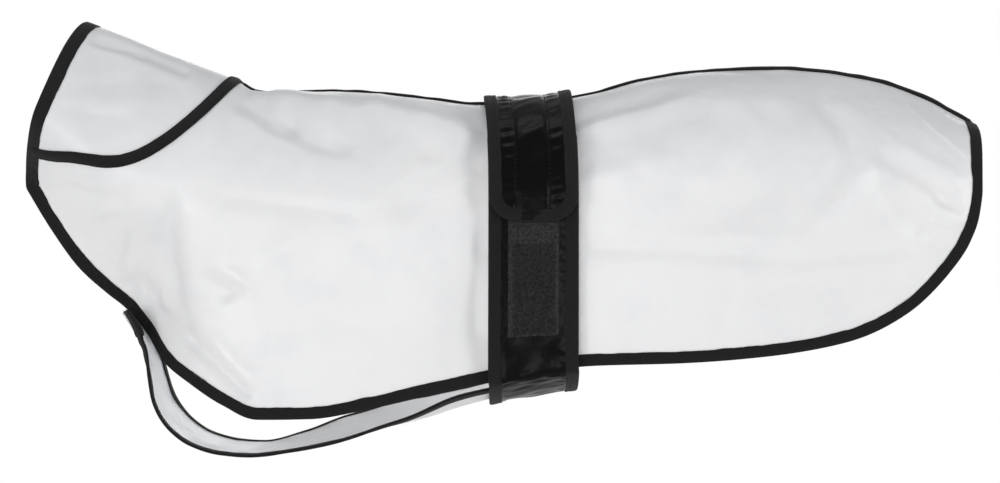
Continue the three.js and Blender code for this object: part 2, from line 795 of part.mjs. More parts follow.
function bibTape(side) {
  const rings = [];
  for (let i = 0; i <= BIB_ROWS; i += 1) {
    const u = bibRow(i);
    const edge = onBib(u, side);
    const leg = onBib(u, side * (1 - TAPE_COVER / valueAt(BIB.half, u)));
    const out = edge.point.clone().sub(leg.point);
    out.addScaledVector(edge.normal, -out.dot(edge.normal)).normalize();
    rings.push(foldedRing(edge, leg, out, FILM));
  }
  return sweep(rings);
}

const STACK = BELT_LIFT + BELT;

const PIECES = [
  ['panel_left', wall(panelGrid(-1), -FILM, FILM), 'film'],
  ['panel_right', wall(panelGrid(1), -FILM, FILM), 'film'],
  ['collar', wall(collarGrid(), -FILM, FILM), 'film'],
  ['bib', wall(bibGrid(), -FILM, FILM), 'film'],
  ['spine_tape', wall(spineTapeGrid(), GAP, TAPE), 'tape'],
  ['collar_tape', wall(collarTapeGrid(), GAP, TAPE), 'tape'],
  ['rim_tape', edgeTape(rimPlaces()), 'tape'],
  ['front_tape', frontTape(), 'tape'],
  ['hem_tape', edgeTape(hemPlaces()), 'tape'],
  ['bib_tape_left', bibTape(-1), 'tape'],
  ['bib_tape_right', bibTape(1), 'tape'],
  ['belt', wall(beltGrid(), 0, BELT), 'belt'],
  ['belt_tape', beltTape(), 'tape'],
  ['loop_strip', wall(closureGrid(0.45, 0.894, STACK + GAP), 0, PILE), 'pile'],
  ['hook_strip', wall(closureGrid(3.36, 3.5, HOOK_LIFT), 0, PILE), 'pile'],
];

const coat = new THREE.Group();
coat.name = 'dog_raincoat';
PIECES.forEach(([name, triangles, finish]) => {
  coat.add(buildMesh(name, triangles, material(finish)));
});

export default coat;
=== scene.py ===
import math

import bpy
import numpy as np
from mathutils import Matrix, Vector


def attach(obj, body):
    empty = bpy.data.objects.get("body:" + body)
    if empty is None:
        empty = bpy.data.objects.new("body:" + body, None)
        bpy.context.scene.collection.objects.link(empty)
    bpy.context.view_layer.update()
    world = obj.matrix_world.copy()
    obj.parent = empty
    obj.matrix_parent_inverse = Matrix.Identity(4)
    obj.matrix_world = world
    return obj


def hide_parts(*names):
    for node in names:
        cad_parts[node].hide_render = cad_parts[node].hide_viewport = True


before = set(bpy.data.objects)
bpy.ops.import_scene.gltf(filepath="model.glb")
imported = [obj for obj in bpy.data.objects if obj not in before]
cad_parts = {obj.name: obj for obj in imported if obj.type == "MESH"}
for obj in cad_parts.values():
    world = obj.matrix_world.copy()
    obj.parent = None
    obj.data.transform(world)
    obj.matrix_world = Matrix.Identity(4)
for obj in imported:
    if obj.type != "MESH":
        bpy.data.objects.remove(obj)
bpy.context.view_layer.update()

# The studio. A long lens stands level with the middle of the coat, on its left
# side. A pale floor lies well below the hanging coat. Wide soft lights stand in
# front of it, above it and behind it, and a small one inside it stands for the
# daylight that the film lets through.
CAMERA_PLACE = (-0.0193, -1.437, -0.0822)
LENS = 85.8
SENSOR = 36.0
FLOOR_HEIGHT = -0.62
FLOOR_RADIUS = 3.0
BACKDROP_LIGHT = 1.0
ROOM_LIGHT = 0.42
SOFT_LIGHTS = (
    # name, place, width, height, watts
    ("key", (2.1, -1.5, 0.1), 0.8, 1.2, 15.5),
    ("fill", (-1.9, -1.7, -0.35), 0.9, 0.9, 16.5),
    ("front", (-0.6, -2.2, -0.35), 1.0, 0.6, 7.0),
    ("overhead", (0.0, -0.1, 1.7), 1.6, 0.4, 5.0),
    ("back", (0.4, 2.2, 0.3), 1.8, 1.4, 14.0),
    ("inside", (0.0, 0.0, -0.03), 0.1, 0.05, 0.09),
)
LIGHTS_AIM = Vector((0.0, 0.0, -0.08))

camera_data = bpy.data.cameras.new("camera")
camera_data.lens = LENS
camera_data.sensor_width = SENSOR
camera = bpy.data.objects.new("camera", camera_data)
camera.location = CAMERA_PLACE
camera.rotation_euler = (math.pi / 2, 0, 0)
bpy.context.scene.collection.objects.link(camera)
bpy.context.scene.camera = camera

for light_name, place, width, height, watts in SOFT_LIGHTS:
    light_data = bpy.data.lights.new(light_name, "AREA")
    light_data.shape = "RECTANGLE"
    light_data.size = width
    light_data.size_y = height
    light_data.energy = watts
    light = bpy.data.objects.new(light_name, light_data)
    light.location = place
    light.rotation_euler = (LIGHTS_AIM - Vector(place)).to_track_quat("-Z", "Y").to_euler()
    bpy.context.scene.collection.objects.link(light)


class Wire:
    """A shader socket that takes part in plain arithmetic."""

    def __init__(self, finish, socket):
        self.finish = finish
        self.socket = socket

    def worked(self, operation, *values):
        inputs = dict(enumerate(values))
        return self.finish.node("ShaderNodeMath", {"operation": operation}, inputs)

    def __add__(self, other):
        return self.worked("ADD", self, other)

    def __radd__(self, other):
        return self.worked("ADD", other, self)

    def __sub__(self, other):
        return self.worked("SUBTRACT", self, other)

    def __rsub__(self, other):
        return self.worked("SUBTRACT", other, self)

    def __mul__(self, other):
        return self.worked("MULTIPLY", self, other)

    def __rmul__(self, other):
        return self.worked("MULTIPLY", other, self)

    def sine(self):
        return self.worked("SINE", self)

    def clamped(self, low, high):
        return self.worked("MINIMUM", self.worked("MAXIMUM", self, low), high)


class Finish:
    """One material of the coat, with its own small shader tree."""

    def __init__(self, name, **constants):
        self.material = bpy.data.materials.new(name)
        self.material.use_nodes = True
        self.tree = self.material.node_tree
        self.shader = self.tree.nodes["Principled BSDF"]
        for socket, value in constants.items():
            self.shader.inputs[socket.replace("_", " ")].default_value = value

    def node(self, kind, settings, inputs, output=0):
        made = self.tree.nodes.new(kind)
        for key, value in settings.items():
            setattr(made, key, value)
        for key, value in inputs.items():
            if isinstance(value, Wire):
                self.tree.links.new(value.socket, made.inputs[key])
            else:
                made.inputs[key].default_value = value
        return Wire(self, made.outputs[output])

    def place(self):
        return self.node("ShaderNodeTexCoord", {}, {}, "Object")

    def noise(self, vector, scale, detail=2.0, roughness=0.5):
        inputs = {"Vector": vector, "Scale": scale, "Detail": detail, "Roughness": roughness}
        return self.node("ShaderNodeTexNoise", {}, inputs, "Fac")

    def stretched(self, vector, factors):
        return self.node("ShaderNodeVectorMath", {"operation": "MULTIPLY"}, {0: vector, 1: factors})

    def part(self, vector, axis):
        return self.node("ShaderNodeSeparateXYZ", {}, {0: vector}, axis)

    def mixed(self, share, first, second):
        # Sockets 6 and 7 of a Mix node are its two colours, and output 2 is theirs.
        return self.node("ShaderNodeMix", {"data_type": "RGBA"}, {0: share, 6: first, 7: second}, 2)

    def bump(self, height, distance, strength=1.0, under=None):
        inputs = {"Height": height, "Distance": distance, "Strength": strength}
        if under is not None:
            inputs["Normal"] = under
        return self.node("ShaderNodeBump", {}, inputs)

    def feed(self, **wires):
        for socket, wire in wires.items():
            self.tree.links.new(wire.socket, self.shader.inputs[socket.replace("_", " ")])
        return self.material


world = bpy.data.worlds.new("studio")
world.use_nodes = True
world_nodes = world.node_tree.nodes
room = world_nodes["Background"]
room.inputs["Strength"].default_value = ROOM_LIGHT
room.inputs["Color"].default_value = (1.0, 1.0, 1.0, 1.0)
backdrop = world_nodes.new("ShaderNodeBackground")
backdrop.inputs["Strength"].default_value = BACKDROP_LIGHT
backdrop.inputs["Color"].default_value = (1.0, 1.0, 1.0, 1.0)
seen = world_nodes.new("ShaderNodeLightPath")
either = world_nodes.new("ShaderNodeMixShader")
world.node_tree.links.new(seen.outputs["Is Camera Ray"], either.inputs[0])
world.node_tree.links.new(room.outputs[0], either.inputs[1])
world.node_tree.links.new(backdrop.outputs[0], either.inputs[2])
world.node_tree.links.new(either.outputs[0], world_nodes["World Output"].inputs[0])
bpy.context.scene.world = world
bpy.context.scene.view_settings.view_transform = "Standard"

floor_turns = [2 * math.pi * i / 96 for i in range(96)]
floor_ring = [(FLOOR_RADIUS * math.cos(a), FLOOR_RADIUS * math.sin(a), FLOOR_HEIGHT) for a in floor_turns]
floor_mesh = bpy.data.meshes.new("floor")
floor_mesh.from_pydata(floor_ring, [], [list(range(96))])
floor = bpy.data.objects.new("floor", floor_mesh)
bpy.context.scene.collection.objects.link(floor)
floor_finish = Finish("floor_paper", Base_Color=(0.92, 0.92, 0.92, 1.0), Roughness=0.9)
floor_mesh.materials.append(floor_finish.material)

# The side panels. Each is one piece of frosted rain film, cut from the spine to
# the hem and from the throat to the tail, and sewn to its pair along the spine.
# Sizes are in millimetres, as is everything up to the moment a mesh is made.
MM = 0.001
FILM = 0.5
TAIL_END = 27
COLLAR_END = 4.05
RIM_BOW = 1.5
THROAT_BOW = 3.2
SEAM_HALF_GAP = 0.2

# Half sections of the coat from the spine down to the hem, neck first: where
# each meets the spine and the hem, its greatest half width, how far down that
# is, its half width at the hem, and how far the back leans to the left.
SECTION_COLUMNS = ("top_x", "top_z", "hem_x", "hem_z", "half", "depth", "hem_half", "roll")
SECTIONS = (
    (-267.7, 49.6, -303.7, -49.9, 44, 0.54, 1.15, 0),
    (-244.8, 41.1, -288.9, -74.3, 46, 0.52, 1.15, 0),
    (-220.7, 31.2, -271.9, -97.6, 49, 0.5, 1.15, 0),
    (-197.8, 22.7, -256.2, -111.8, 52, 0.47, 1.15, 0),
    (-178.5, 15.2, -243.9, -121.5, 55, 0.44, 1.15, 0),
    (-166.4, 7.7, -230.6, -135.5, 57, 0.42, 11, 0),
    (-154.4, 6.1, -216.8, -153.2, 59, 0.42, 28, 0),
    (-141.1, 7.4, -199.9, -164.9, 61, 0.41, 42, 0),
    (-124.8, 7.7, -180.3, -176.3, 63, 0.4, 52, 0),
    (-108.5, 7.7, -159.3, -184.2, 65, 0.39, 58, 0),
    (-85.6, 5.8, -129.0, -183.6, 67, 0.38, 61, 0),
    (-60.3, 3.1, -91.4, -177.0, 67, 0.38, 62, 0),
    (-32.6, 0.1, -48.2, -167.1, 65, 0.38, 61, 0),
    (-0.0, 1.0, 0.9, -157.0, 62, 0.38, 60, 0),
    (35.0, 6.1, 32.6, -152.9, 64, 0.38, 62, 0),
    (68.1, 14.9, 84.3, -151.2, 68, 0.38, 65, 0.03),
    (101.3, 19.7, 135.9, -147.0, 70, 0.38, 67, 0.06),
    (134.5, 21.5, 181.9, -138.4, 70, 0.38, 67, 0.1),
    (150.8, 21.9, 214.8, -122.8, 68, 0.44, 64, 0.14),
    (165.2, 20.9, 239.2, -100.2, 64.5, 0.52, 60, 0.18),
    (178.5, 19.7, 251.9, -82.4, 60.5, 0.61, 56.5, 0.21),
    (193.0, 17.3, 258.3, -66.6, 56.5, 0.72, 52.5, 0.25),
    (206.2, 14.9, 260.7, -51.1, 52, 0.86, 49.6, 0.28),
    (218.3, 11.4, 260.7, -38.8, 48.6, 1, 48.6, 0.31),
    (229.1, 7.4, 261.7, -27.2, 47.8, 1, 42, 0.34),
    (240.0, 2.8, 262.8, -19.1, 47.8, 1, 32, 0.36),
    (251.5, -3.5, 263.7, -14.4, 47.8, 1, 20, 0.37),
    (265.9, -11.2, 266.0, -11.4, 47.8, 1, 0.6, 0.37),
)

# Creases: side, the line of each as seen from the side, how wide it is, and how far it stands out or, below
# zero, in.
CREASE_COLUMNS = ("side", "from_x", "from_z", "to_x", "to_z", "width", "height")
CREASES = (
    # left shoulder: a fold that runs back from the collar, and the hollow under it
    (-1, -166, 4, -120, -3, 5.0, 2.6),
    (-1, -120, -3, -92, -4, 6.0, 1.5),
    (-1, -92, -4, -66, -10.5, 6.0, 1.7),
    (-1, -66, -10.5, -38, -19, 5.0, 1.8),
    (-1, -169, 0, -144, -12, 4.5, -3.0),
    (-1, -144, -12, -117, -24, 5.5, -3.4),
    (-1, -117, -24, -100, -28, 6.5, -1.8),
    (-1, -94, -8, -86, -20, 4.0, -1.4),
    (-1, -80, -20, -58, -30, 5.0, -1.5),
    # left, in front of the belt
    (-1, -38, -36, -78, -58, 5.0, -2.0),
    (-1, -58, -38, -96, -62, 4.0, 1.5),
    (-1, -38, -52, -70, -65, 5.0, -1.3),
    (-1, -178, -58, -88, -67, 3.5, -0.7),
    (-1, -136, -81, -164, -104, 5.0, 0.7),
    (-1, -132, -89, -150, -104, 5.0, -0.5),
    (-1, -31, -20, -31, -86, 6.0, -1.5),
    (-1, -31, -86, -31, -152, 6.0, -1.6),
    (-1, 30, -40, 30, -140, 4.0, -0.5),
    (-1, -36, -110, -44, -150, 9.0, -1.6),
    (-1, -96, -120, -140, -128, 12.0, -1.0),
    # left chest: small crumples, and the crease along the lower front edge
    (-1, -191, -103, -178, -111, 3.0, -1.0),
    (-1, -183, -114, -171, -112, 2.5, -0.8),
    (-1, -178, -100, -166, -106, 3.0, 0.9),
    (-1, -214, -64, -213, -104, 6.0, -1.5),
    (-1, -213, -104, -207, -128, 5.0, -1.8),
    (-1, -204, -68, -202, -120, 6.0, 1.2),
    (-1, -239, -78, -243, -98, 3.0, -1.0),
    (-1, -239, -107, -229, -114, 4.5, -2.4),
    (-1, -226, -120, -201, -141, 3.0, -1.5),
    (-1, -201, -141, -167, -170, 2.4, -1.6),
    (-1, -196, -132, -164, -160, 4.0, 0.9),
    (-1, -278, -52, -240, -58, 3.5, -0.8),
    (-1, -264, -66, -236, -62, 3.0, 0.6),
    # left, behind the belt: folds that fan out from it up to the back
    (-1, 24, -13, 78, 8, 4.0, -1.4),
    (-1, 27, -19, 92, 0, 4.0, 1.3),
    (-1, 27, -27, 98, -8, 4.5, -1.5),
    (-1, 28, -38, 68, -27, 4.5, -1.2),
    (-1, 28, -46, 84, -30, 5.0, 0.9),
    # left rump
    (-1, 142, 4, 141, -38, 15.0, -2.2),
    (-1, 127, -12, 101, -45, 5.0, 1.3),
    (-1, 151, -46, 107, -68, 7.0, -1.2),
    (-1, 183, -29, 156, -67, 6.0, -1.8),
    (-1, 189, -38, 170, -67, 5.0, 1.5),
    (-1, 171, 2, 184, -27, 6.0, -1.4),
    (-1, 206, -34, 241, -54, 4.5, -1.7),
    (-1, 209, -28, 242, -44, 4.0, 1.2),
    (-1, 199, -52, 221, -74, 4.0, -1.2),
    (-1, 33, -84, 108, -88, 4.0, -1.0),
    (-1, 108, -88, 155, -93, 4.0, -1.1),
    (-1, 155, -93, 228, -84, 4.0, -0.8),
    (-1, 60, -79, 150, -83, 4.0, 0.7),
    (-1, 114, -110, 107, -128, 2.5, -0.8),
    (-1, 138, -112, 168, -104, 5.0, -0.7),
    # left, puckers at the tape round the tail
    (-1, 234, -58, 246, -63, 1.8, -0.7),
    (-1, 232, -68, 244, -74, 1.8, -0.7),
    (-1, 229, -78, 239, -85, 1.8, -0.7),
    (-1, 223, -88, 233, -96, 2.0, -0.7),
    (-1, 213, -99, 223, -108, 2.2, -0.6),
    # collar
    (-1, -258, 38, -232, 30, 2.2, -1.7),
    (-1, -232, 30, -206, 19, 2.0, -1.4),
    (-1, -256, 24, -253, -16, 7.0, -1.2),
    (-1, -272, -4, -240, -10, 3.0, -0.7),
    (-1, -269, 9, -220, 13, 3.5, -0.8),
    (-1, -240, -2, -214, 2, 4.0, 0.7),
    (1, -262, 20, -236, 4, 4.0, -1.1),
    (1, -270, -6, -228, -12, 3.5, -0.9),
    # right shoulder and flank
    (1, -166, 2, -128, -6, 5.0, 2.2),
    (1, -164, -6, -122, -26, 6.0, -2.8),
    (1, -31, -20, -31, -86, 6.0, -1.2),
    (1, -31, -86, -31, -152, 6.0, -1.2),
    (1, -120, -22, -86, -34, 6.0, -1.4),
    (1, -84, -12, -40, -24, 5.5, -1.9),
    (1, -40, -44, -92, -70, 5.0, -1.7),
    (1, -60, -42, -104, -68, 4.5, 1.1),
    (1, -212, -60, -206, -118, 6.0, -1.6),
    (1, -188, -92, -156, -112, 4.0, 1.1),
    (1, -224, -122, -172, -166, 3.0, -1.5),
    (1, -150, -120, -96, -134, 9.0, -1.1),
    (1, 26, -20, 88, 1, 5.0, -1.6),
    (1, 28, -36, 104, -14, 5.0, -1.4),
    (1, 28, -28, 96, -6, 4.0, 1.1),
    (1, 36, -80, 132, -92, 4.5, -1.0),
    (1, 110, -72, 176, -34, 8.0, -1.8),
    (1, 120, -84, 180, -50, 5.0, 1.2),
    (1, 150, -4, 168, -34, 9.0, -1.6),
    (1, 198, -32, 240, -58, 4.5, -1.6),
    (1, 206, -56, 232, -84, 4.0, -1.1),
    (1, 231, -66, 243, -72, 1.9, -0.7),
    (1, 226, -82, 237, -89, 1.9, -0.7),
)
CREASE_FREE_SPINE = 13.0
CREASE_FREE_NAPE = 5.0
NAPE_END = (-220, -196)
CREASE_DEPTH = 1.9


def columns(names, rows):
    """A table's rows as one array of values for each column name."""
    return dict(zip(names, np.array(rows, float).T))


SECTION = columns(SECTION_COLUMNS, SECTIONS)
CREASE = columns(CREASE_COLUMNS, CREASES)


def along(values, position):
    """Column value at any row number, smooth and without overshoot."""
    values = np.asarray(values, float)
    last = len(values) - 1
    place = np.clip(position, 0, last)
    i = np.minimum(place.astype(int), last - 1)
    f = place - i
    step = np.diff(values)
    same_way = step[:-1] * step[1:] > 0
    total = np.where(same_way, step[:-1] + step[1:], 1)
    inner = np.where(same_way, 2 * step[:-1] * step[1:] / total, 0)
    slope = np.concatenate([step[:1], inner, step[-1:]])
    ease = f * f * (3 - 2 * f)
    return (
        values[i] * (1 - ease)
        + values[i + 1] * ease
        + slope[i] * f * (1 - f) ** 2
        + slope[i + 1] * f * f * (f - 1)
    )


def smooth(low, high, x):
    t = np.clip((x - low) / (high - low), 0, 1)
    return t * t * (3 - 2 * t)


def body_form(s, w):
    """Plain form of the coat at section s; w runs from -1, the left hem, over 0, the spine, to 1."""
    s, w = np.broadcast_arrays(np.asarray(s, float), np.asarray(w, float))
    row = {name: along(values, s) for name, values in SECTION.items()}
    half, depth, hem_half = row["half"], row["depth"], row["hem_half"]
    side = np.where(w < 0, -1.0, 1.0)
    down = np.abs(w)
    dx = row["hem_x"] - row["top_x"]
    dz = row["hem_z"] - row["top_z"]
    length = np.hypot(dx, dz)
    arc = math.pi / 2 * np.sqrt((half**2 + (depth * length) ** 2) / 2)
    widest = arc / (arc + (1 - depth) * length)
    angle = np.minimum(down / widest, 1) * math.pi / 2
    t = np.clip((down - widest) / np.maximum(1 - widest, 1e-9), 0, 1)
    share = depth * (1 - np.cos(angle)) + (1 - depth) * t
    y = half * np.sin(angle) + (hem_half - half) * (1 - np.cos(math.pi * t)) / 2
    end = np.arcsin(np.minimum(1, hem_half / half))
    arch_share = (1 - np.cos(down * end)) / np.maximum(1 - np.cos(end), 1e-12)
    arch = depth >= 1
    share = np.where(arch, arch_share, share)
    y = np.where(arch, half * np.sin(down * end), y)
    bow = RIM_BOW * share**0.6 * (1 - share) / 0.345 + THROAT_BOW * share**5 * (1 - share) / 0.067
    bow = bow * np.maximum(0, 1 - s / 4)
    return np.stack(
        [
            row["top_x"] + share * dx + bow * dz / length,
            side * y,
            row["top_z"] + share * dz - bow * dx / length + row["roll"] * side * y * (1 - share),
        ],
        axis=-1,
    )


def unit(vectors):
    size = np.linalg.norm(vectors, axis=-1, keepdims=True)
    return vectors / np.maximum(size, 1e-12)


def soft_noise(x, y, seed):
    """Smooth uneven height between -1 and 1 over a plane, the same on every run."""
    lattice = np.random.default_rng(seed).uniform(-1, 1, (64, 64))
    i = np.floor(x).astype(int)
    j = np.floor(y).astype(int)
    f = x - i
    g = y - j
    f = f * f * (3 - 2 * f)
    g = g * g * (3 - 2 * g)
    a = lattice[i % 64, j % 64]
    b = lattice[(i + 1) % 64, j % 64]
    c = lattice[i % 64, (j + 1) % 64]
    d = lattice[(i + 1) % 64, (j + 1) % 64]
    return (a * (1 - f) + b * f) * (1 - g) + (c * (1 - f) + d * f) * g


def crease_height(point):
    """How far the film stands off its plain form."""
    x, y, z = point[..., 0], point[..., 1], point[..., 2]
    height = np.zeros_like(x)
    bare = CREASE_FREE_NAPE + (CREASE_FREE_SPINE - CREASE_FREE_NAPE) * smooth(*NAPE_END, x)
    inset = smooth(0, 1, np.abs(y) / bare)
    for i in range(len(CREASES)):
        ax, az = CREASE["from_x"][i], CREASE["from_z"][i]
        bx, bz = CREASE["to_x"][i] - ax, CREASE["to_z"][i] - az
        t = ((x - ax) * bx + (z - az) * bz) / (bx * bx + bz * bz)
        near = np.clip(t, 0, 1)
        wander = 0.22 * CREASE["width"][i] * np.sin(5.1 * near + 1.7 * i)
        along_x, along_z = unit(np.array([bx, bz]))
        away_x = x - ax - near * bx + wander * along_z
        away_z = z - az - near * bz - wander * along_x
        away = np.hypot(away_x, away_z) / CREASE["width"][i]
        fade = 0.62 + 0.38 * np.sin(math.pi * (0.12 + 0.76 * near))
        here = CREASE["side"][i] * y > 0
        height += np.where(here, CREASE["height"][i] * fade * np.exp(-0.5 * away**2), 0) * CREASE_DEPTH
    turn = np.where(y < 0, 0.0, 31.0)
    height += 0.5 * soft_noise(x / 34 + turn, z / 27, 3)
    height += 0.16 * soft_noise(x / 13 + turn, z / 11, 5)
    return height * inset


def normal_of(surface, a, b, step_a=0.02, step_b=0.004, range_a=(0, TAIL_END), range_b=(-1, 1)):
    """Outward normal of a surface given as a function of two numbers."""
    low_a, high_a = np.clip(a - step_a, *range_a), np.clip(a + step_a, *range_a)
    low_b, high_b = np.clip(b - step_b, *range_b), np.clip(b + step_b, *range_b)
    along_a = surface(high_a, b) - surface(low_a, b)
    along_b = surface(a, high_b) - surface(a, low_b)
    return unit(np.cross(along_a, along_b))


def coat(s, w):
    """Outer face of the film, creases included."""
    point = body_form(s, w)
    return point + normal_of(body_form, s, w) * crease_height(point)[..., None]


def coat_normal(s, w):
    return normal_of(coat, s, w)


SEAM_COLUMNS = ("section", "down")
COLLAR_SEAM = columns(
    SEAM_COLUMNS,
    (
        (0, 0.83),
        (0.7, 0.74),
        (1.24, 0.67),
        (1.66, 0.625),
        (2.04, 0.592),
        (2.4, 0.558),
        (2.72, 0.52),
        (3.05, 0.47),
        (3.33, 0.418),
        (3.58, 0.356),
        (3.8, 0.281),
        (3.95, 0.187),
        (4.03, 0.09),
        (COLLAR_END, 0),
    ),
)


def collar_seam(share):
    """Section and way down the side of the collar seam, from the rim, 0, to the spine, 1."""
    position = np.asarray(share, float) * (len(COLLAR_SEAM["down"]) - 1)
    return along(COLLAR_SEAM["section"], position), along(COLLAR_SEAM["down"], position)


def quads(index, flip=False):
    """Faces over a grid of vertex numbers."""
    a, b, c, d = index[:-1, :-1], index[1:, :-1], index[1:, 1:], index[:-1, 1:]
    corners = [d, c, b, a] if flip else [a, b, c, d]
    return np.stack(corners, axis=-1).reshape(-1, 4)


def add_piece(name, points, faces, finish, uv=None):
    """A finished mesh in the frame. points are in millimetres; uv has two values for each corner."""
    corners = points[faces]
    volume = np.einsum("ij,ij->i", corners[:, 0], np.cross(corners[:, 1], corners[:, 2])).sum()
    volume += np.einsum("ij,ij->i", corners[:, 0], np.cross(corners[:, 2], corners[:, 3])).sum()
    if volume < 0:
        faces = faces[:, ::-1]
        uv = None if uv is None else uv[:, ::-1]
    rounded = np.round(points, 4)
    kept, number = np.unique(rounded, axis=0, return_inverse=True)
    faces = number.reshape(-1)[faces]
    mesh = bpy.data.meshes.new(name)
    plain, plain_uv = [], []
    for i, face in enumerate(faces.tolist()):
        used = [k for k in range(4) if face[k] != face[k - 1]]
        if len(used) > 2:
            plain.append([face[k] for k in used])
            if uv is not None:
                plain_uv.extend(uv[i][k] for k in used)
    mesh.from_pydata((kept * MM).tolist(), [], plain)
    if uv is not None:
        layer = mesh.uv_layers.new(name="cut")
        layer.data.foreach_set("uv", np.array(plain_uv, np.float32).ravel())
    mesh.polygons.foreach_set("use_smooth", np.ones(len(mesh.polygons), bool))
    mesh.materials.append(finish)
    mesh.update()
    piece = bpy.data.objects.new(name, mesh)
    bpy.context.scene.collection.objects.link(piece)
    return piece


def shell(name, outer, inner, finish):
    """Closed wall of cloth between two grids of points."""
    across, down = outer.shape[:2]
    face = np.arange(across * down).reshape(across, down)
    back = face + across * down
    rims = [
        quads(np.stack([face[:, 0], back[:, 0]], axis=1), True),
        quads(np.stack([face[:, -1], back[:, -1]], axis=1)),
        quads(np.stack([face[0], back[0]], axis=1)),
        quads(np.stack([face[-1], back[-1]], axis=1), True),
    ]
    points = np.concatenate([outer.reshape(-1, 3), inner.reshape(-1, 3)])
    faces = np.concatenate([quads(face), quads(back, True), *rims])
    return add_piece(name, points, faces, finish)


def film_shell(name, s, w, finish):
    point = coat(s, w)
    normal = coat_normal(s, w)
    return shell(name, point, point - normal * FILM, finish)


def spine_place(s, side):
    """How far from the spine line a panel's edge lies, leaving the seam's small gap."""
    width = np.linalg.norm(coat(s, 0.01) - coat(s, 0.0), axis=-1)
    return side * 0.01 * SEAM_HALF_GAP / width


PANEL_SPANS = (
    # from section, to section, columns
    (COLLAR_END, 6, 34),
    (6, 12, 62),
    (12, 14, 30),
    (14, 20, 60),
    (20, 22, 18),
    (22, 24, 24),
    (24, 26.95, 26),
)
SEAM_SHARES = 64
PANEL_ROWS = 92

# Share of the light that soaks into the film and how far it then goes, in metres.
FILM_GLOW = 0.5
FILM_GLOW_REACH = 0.0006
FILM_PALE = (0.875, 0.877, 0.885, 1.0)
# The grey end of the film's colour, reached by painted shade as well as by random mottle.
FILM_SHADE_AND_MOTTLE_GREY = (0.64, 0.665, 0.69, 1.0)
# How strongly painted shade greys the bib towards its front.
BIB_PAINTED_FRONT_SHADE = 1.6


def film_finish(name, painted_front_shade_weight):
    """Frosted rain film: milky, softly glossy, with painted shade that greys it along the back and, by the
    given weight, at the front.
    """
    finish = Finish(
        name,
        Specular_IOR_Level=0.45,
        IOR=1.47,
        Subsurface_Weight=FILM_GLOW,
        Subsurface_Radius=(1.0, 1.0, 1.0),
        Subsurface_Scale=FILM_GLOW_REACH,
    )
    place = finish.place()
    height = finish.part(place, "Z")
    broad = finish.noise(place, 26.0, 3.0, 0.55)
    mottle = finish.noise(place, 60.0, 2.0, 0.5)
    grain = finish.noise(place, 1900.0, 1.0)
    # Painted shade: the film turns greyer with height, where its top faces away from the lights.
    painted_top_shade = ((height + 0.052) * 18.0).clamped(0.0, 1.0)
    # Painted shade: the film turns greyer towards the front, by the given weight.
    front = ((-0.13 - finish.part(place, "X")) * 14.0).clamped(0.0, 1.0) * painted_front_shade_weight
    # Painted shade and random mottle together set how grey the film is.
    shade_and_mottle = (front + painted_top_shade * 0.5 + (broad - 0.5) * 0.55 + (mottle - 0.5) * 0.3).clamped(0.0, 1.0)
    colour = finish.mixed(shade_and_mottle, FILM_PALE, FILM_SHADE_AND_MOTTLE_GREY)
    roughness = 0.36 + (mottle - 0.5) * 0.2
    crinkle = finish.bump(mottle, 0.0018, 0.45)
    normal = finish.bump(grain, 0.00008, 0.35, crinkle)
    return finish.feed(Base_Color=colour, Roughness=roughness, Normal=normal)


film = film_finish("frosted_film", 0.0)

seam_shares = np.linspace(0, 1, SEAM_SHARES)
seam_section, seam_down = collar_seam(seam_shares)
back_places = np.concatenate(
    [np.linspace(start, end, count, endpoint=False) for start, end, count in PANEL_SPANS]
    + [np.array([PANEL_SPANS[-1][1]])]
)
for side, node in ((-1, "panel_left"), (1, "panel_right")):
    top_s = np.concatenate([seam_section + 0.012 * seam_shares, back_places[1:]])
    top_w = np.concatenate([side * (seam_down + 0.0022 * (1 - seam_shares)), 0 * back_places[1:]])
    top_w[SEAM_SHARES:] = spine_place(back_places[1:], side)
    bottom_s = np.concatenate([COLLAR_END * seam_shares, back_places[1:]])
    f = np.linspace(0, 1, PANEL_ROWS)
    s_grid = top_s[:, None] * (1 - f) + bottom_s[:, None] * f
    w_grid = top_w[:, None] * (1 - f) + side * f
    panel = film_shell(node + "_film", s_grid, w_grid, film)
    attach(panel, "root")
    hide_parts(node)

# The stand collar. One curved piece of the same film, joined to both panels
# by the seam under the collar tape, and open at the neck rim and the throat.
COLLAR_ACROSS = 150
COLLAR_ROWS = 54

across = np.linspace(-1, 1, COLLAR_ACROSS + 1)
seam_s, seam_w = collar_seam(1 - np.abs(across))
collar_side = np.where(across < 0, -1.0, 1.0)
rim_w = np.abs(across) * COLLAR_SEAM["down"][0] * collar_side * 0.998
f = np.linspace(0, 1, COLLAR_ROWS)
s_grid = np.maximum(seam_s[:, None] - 0.012, 0) * f
w_grid = rim_w[:, None] * (1 - f) + (collar_side * seam_w * 0.998)[:, None] * f
collar = film_shell("collar_film", s_grid, w_grid, film)
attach(collar, "root")
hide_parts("collar")

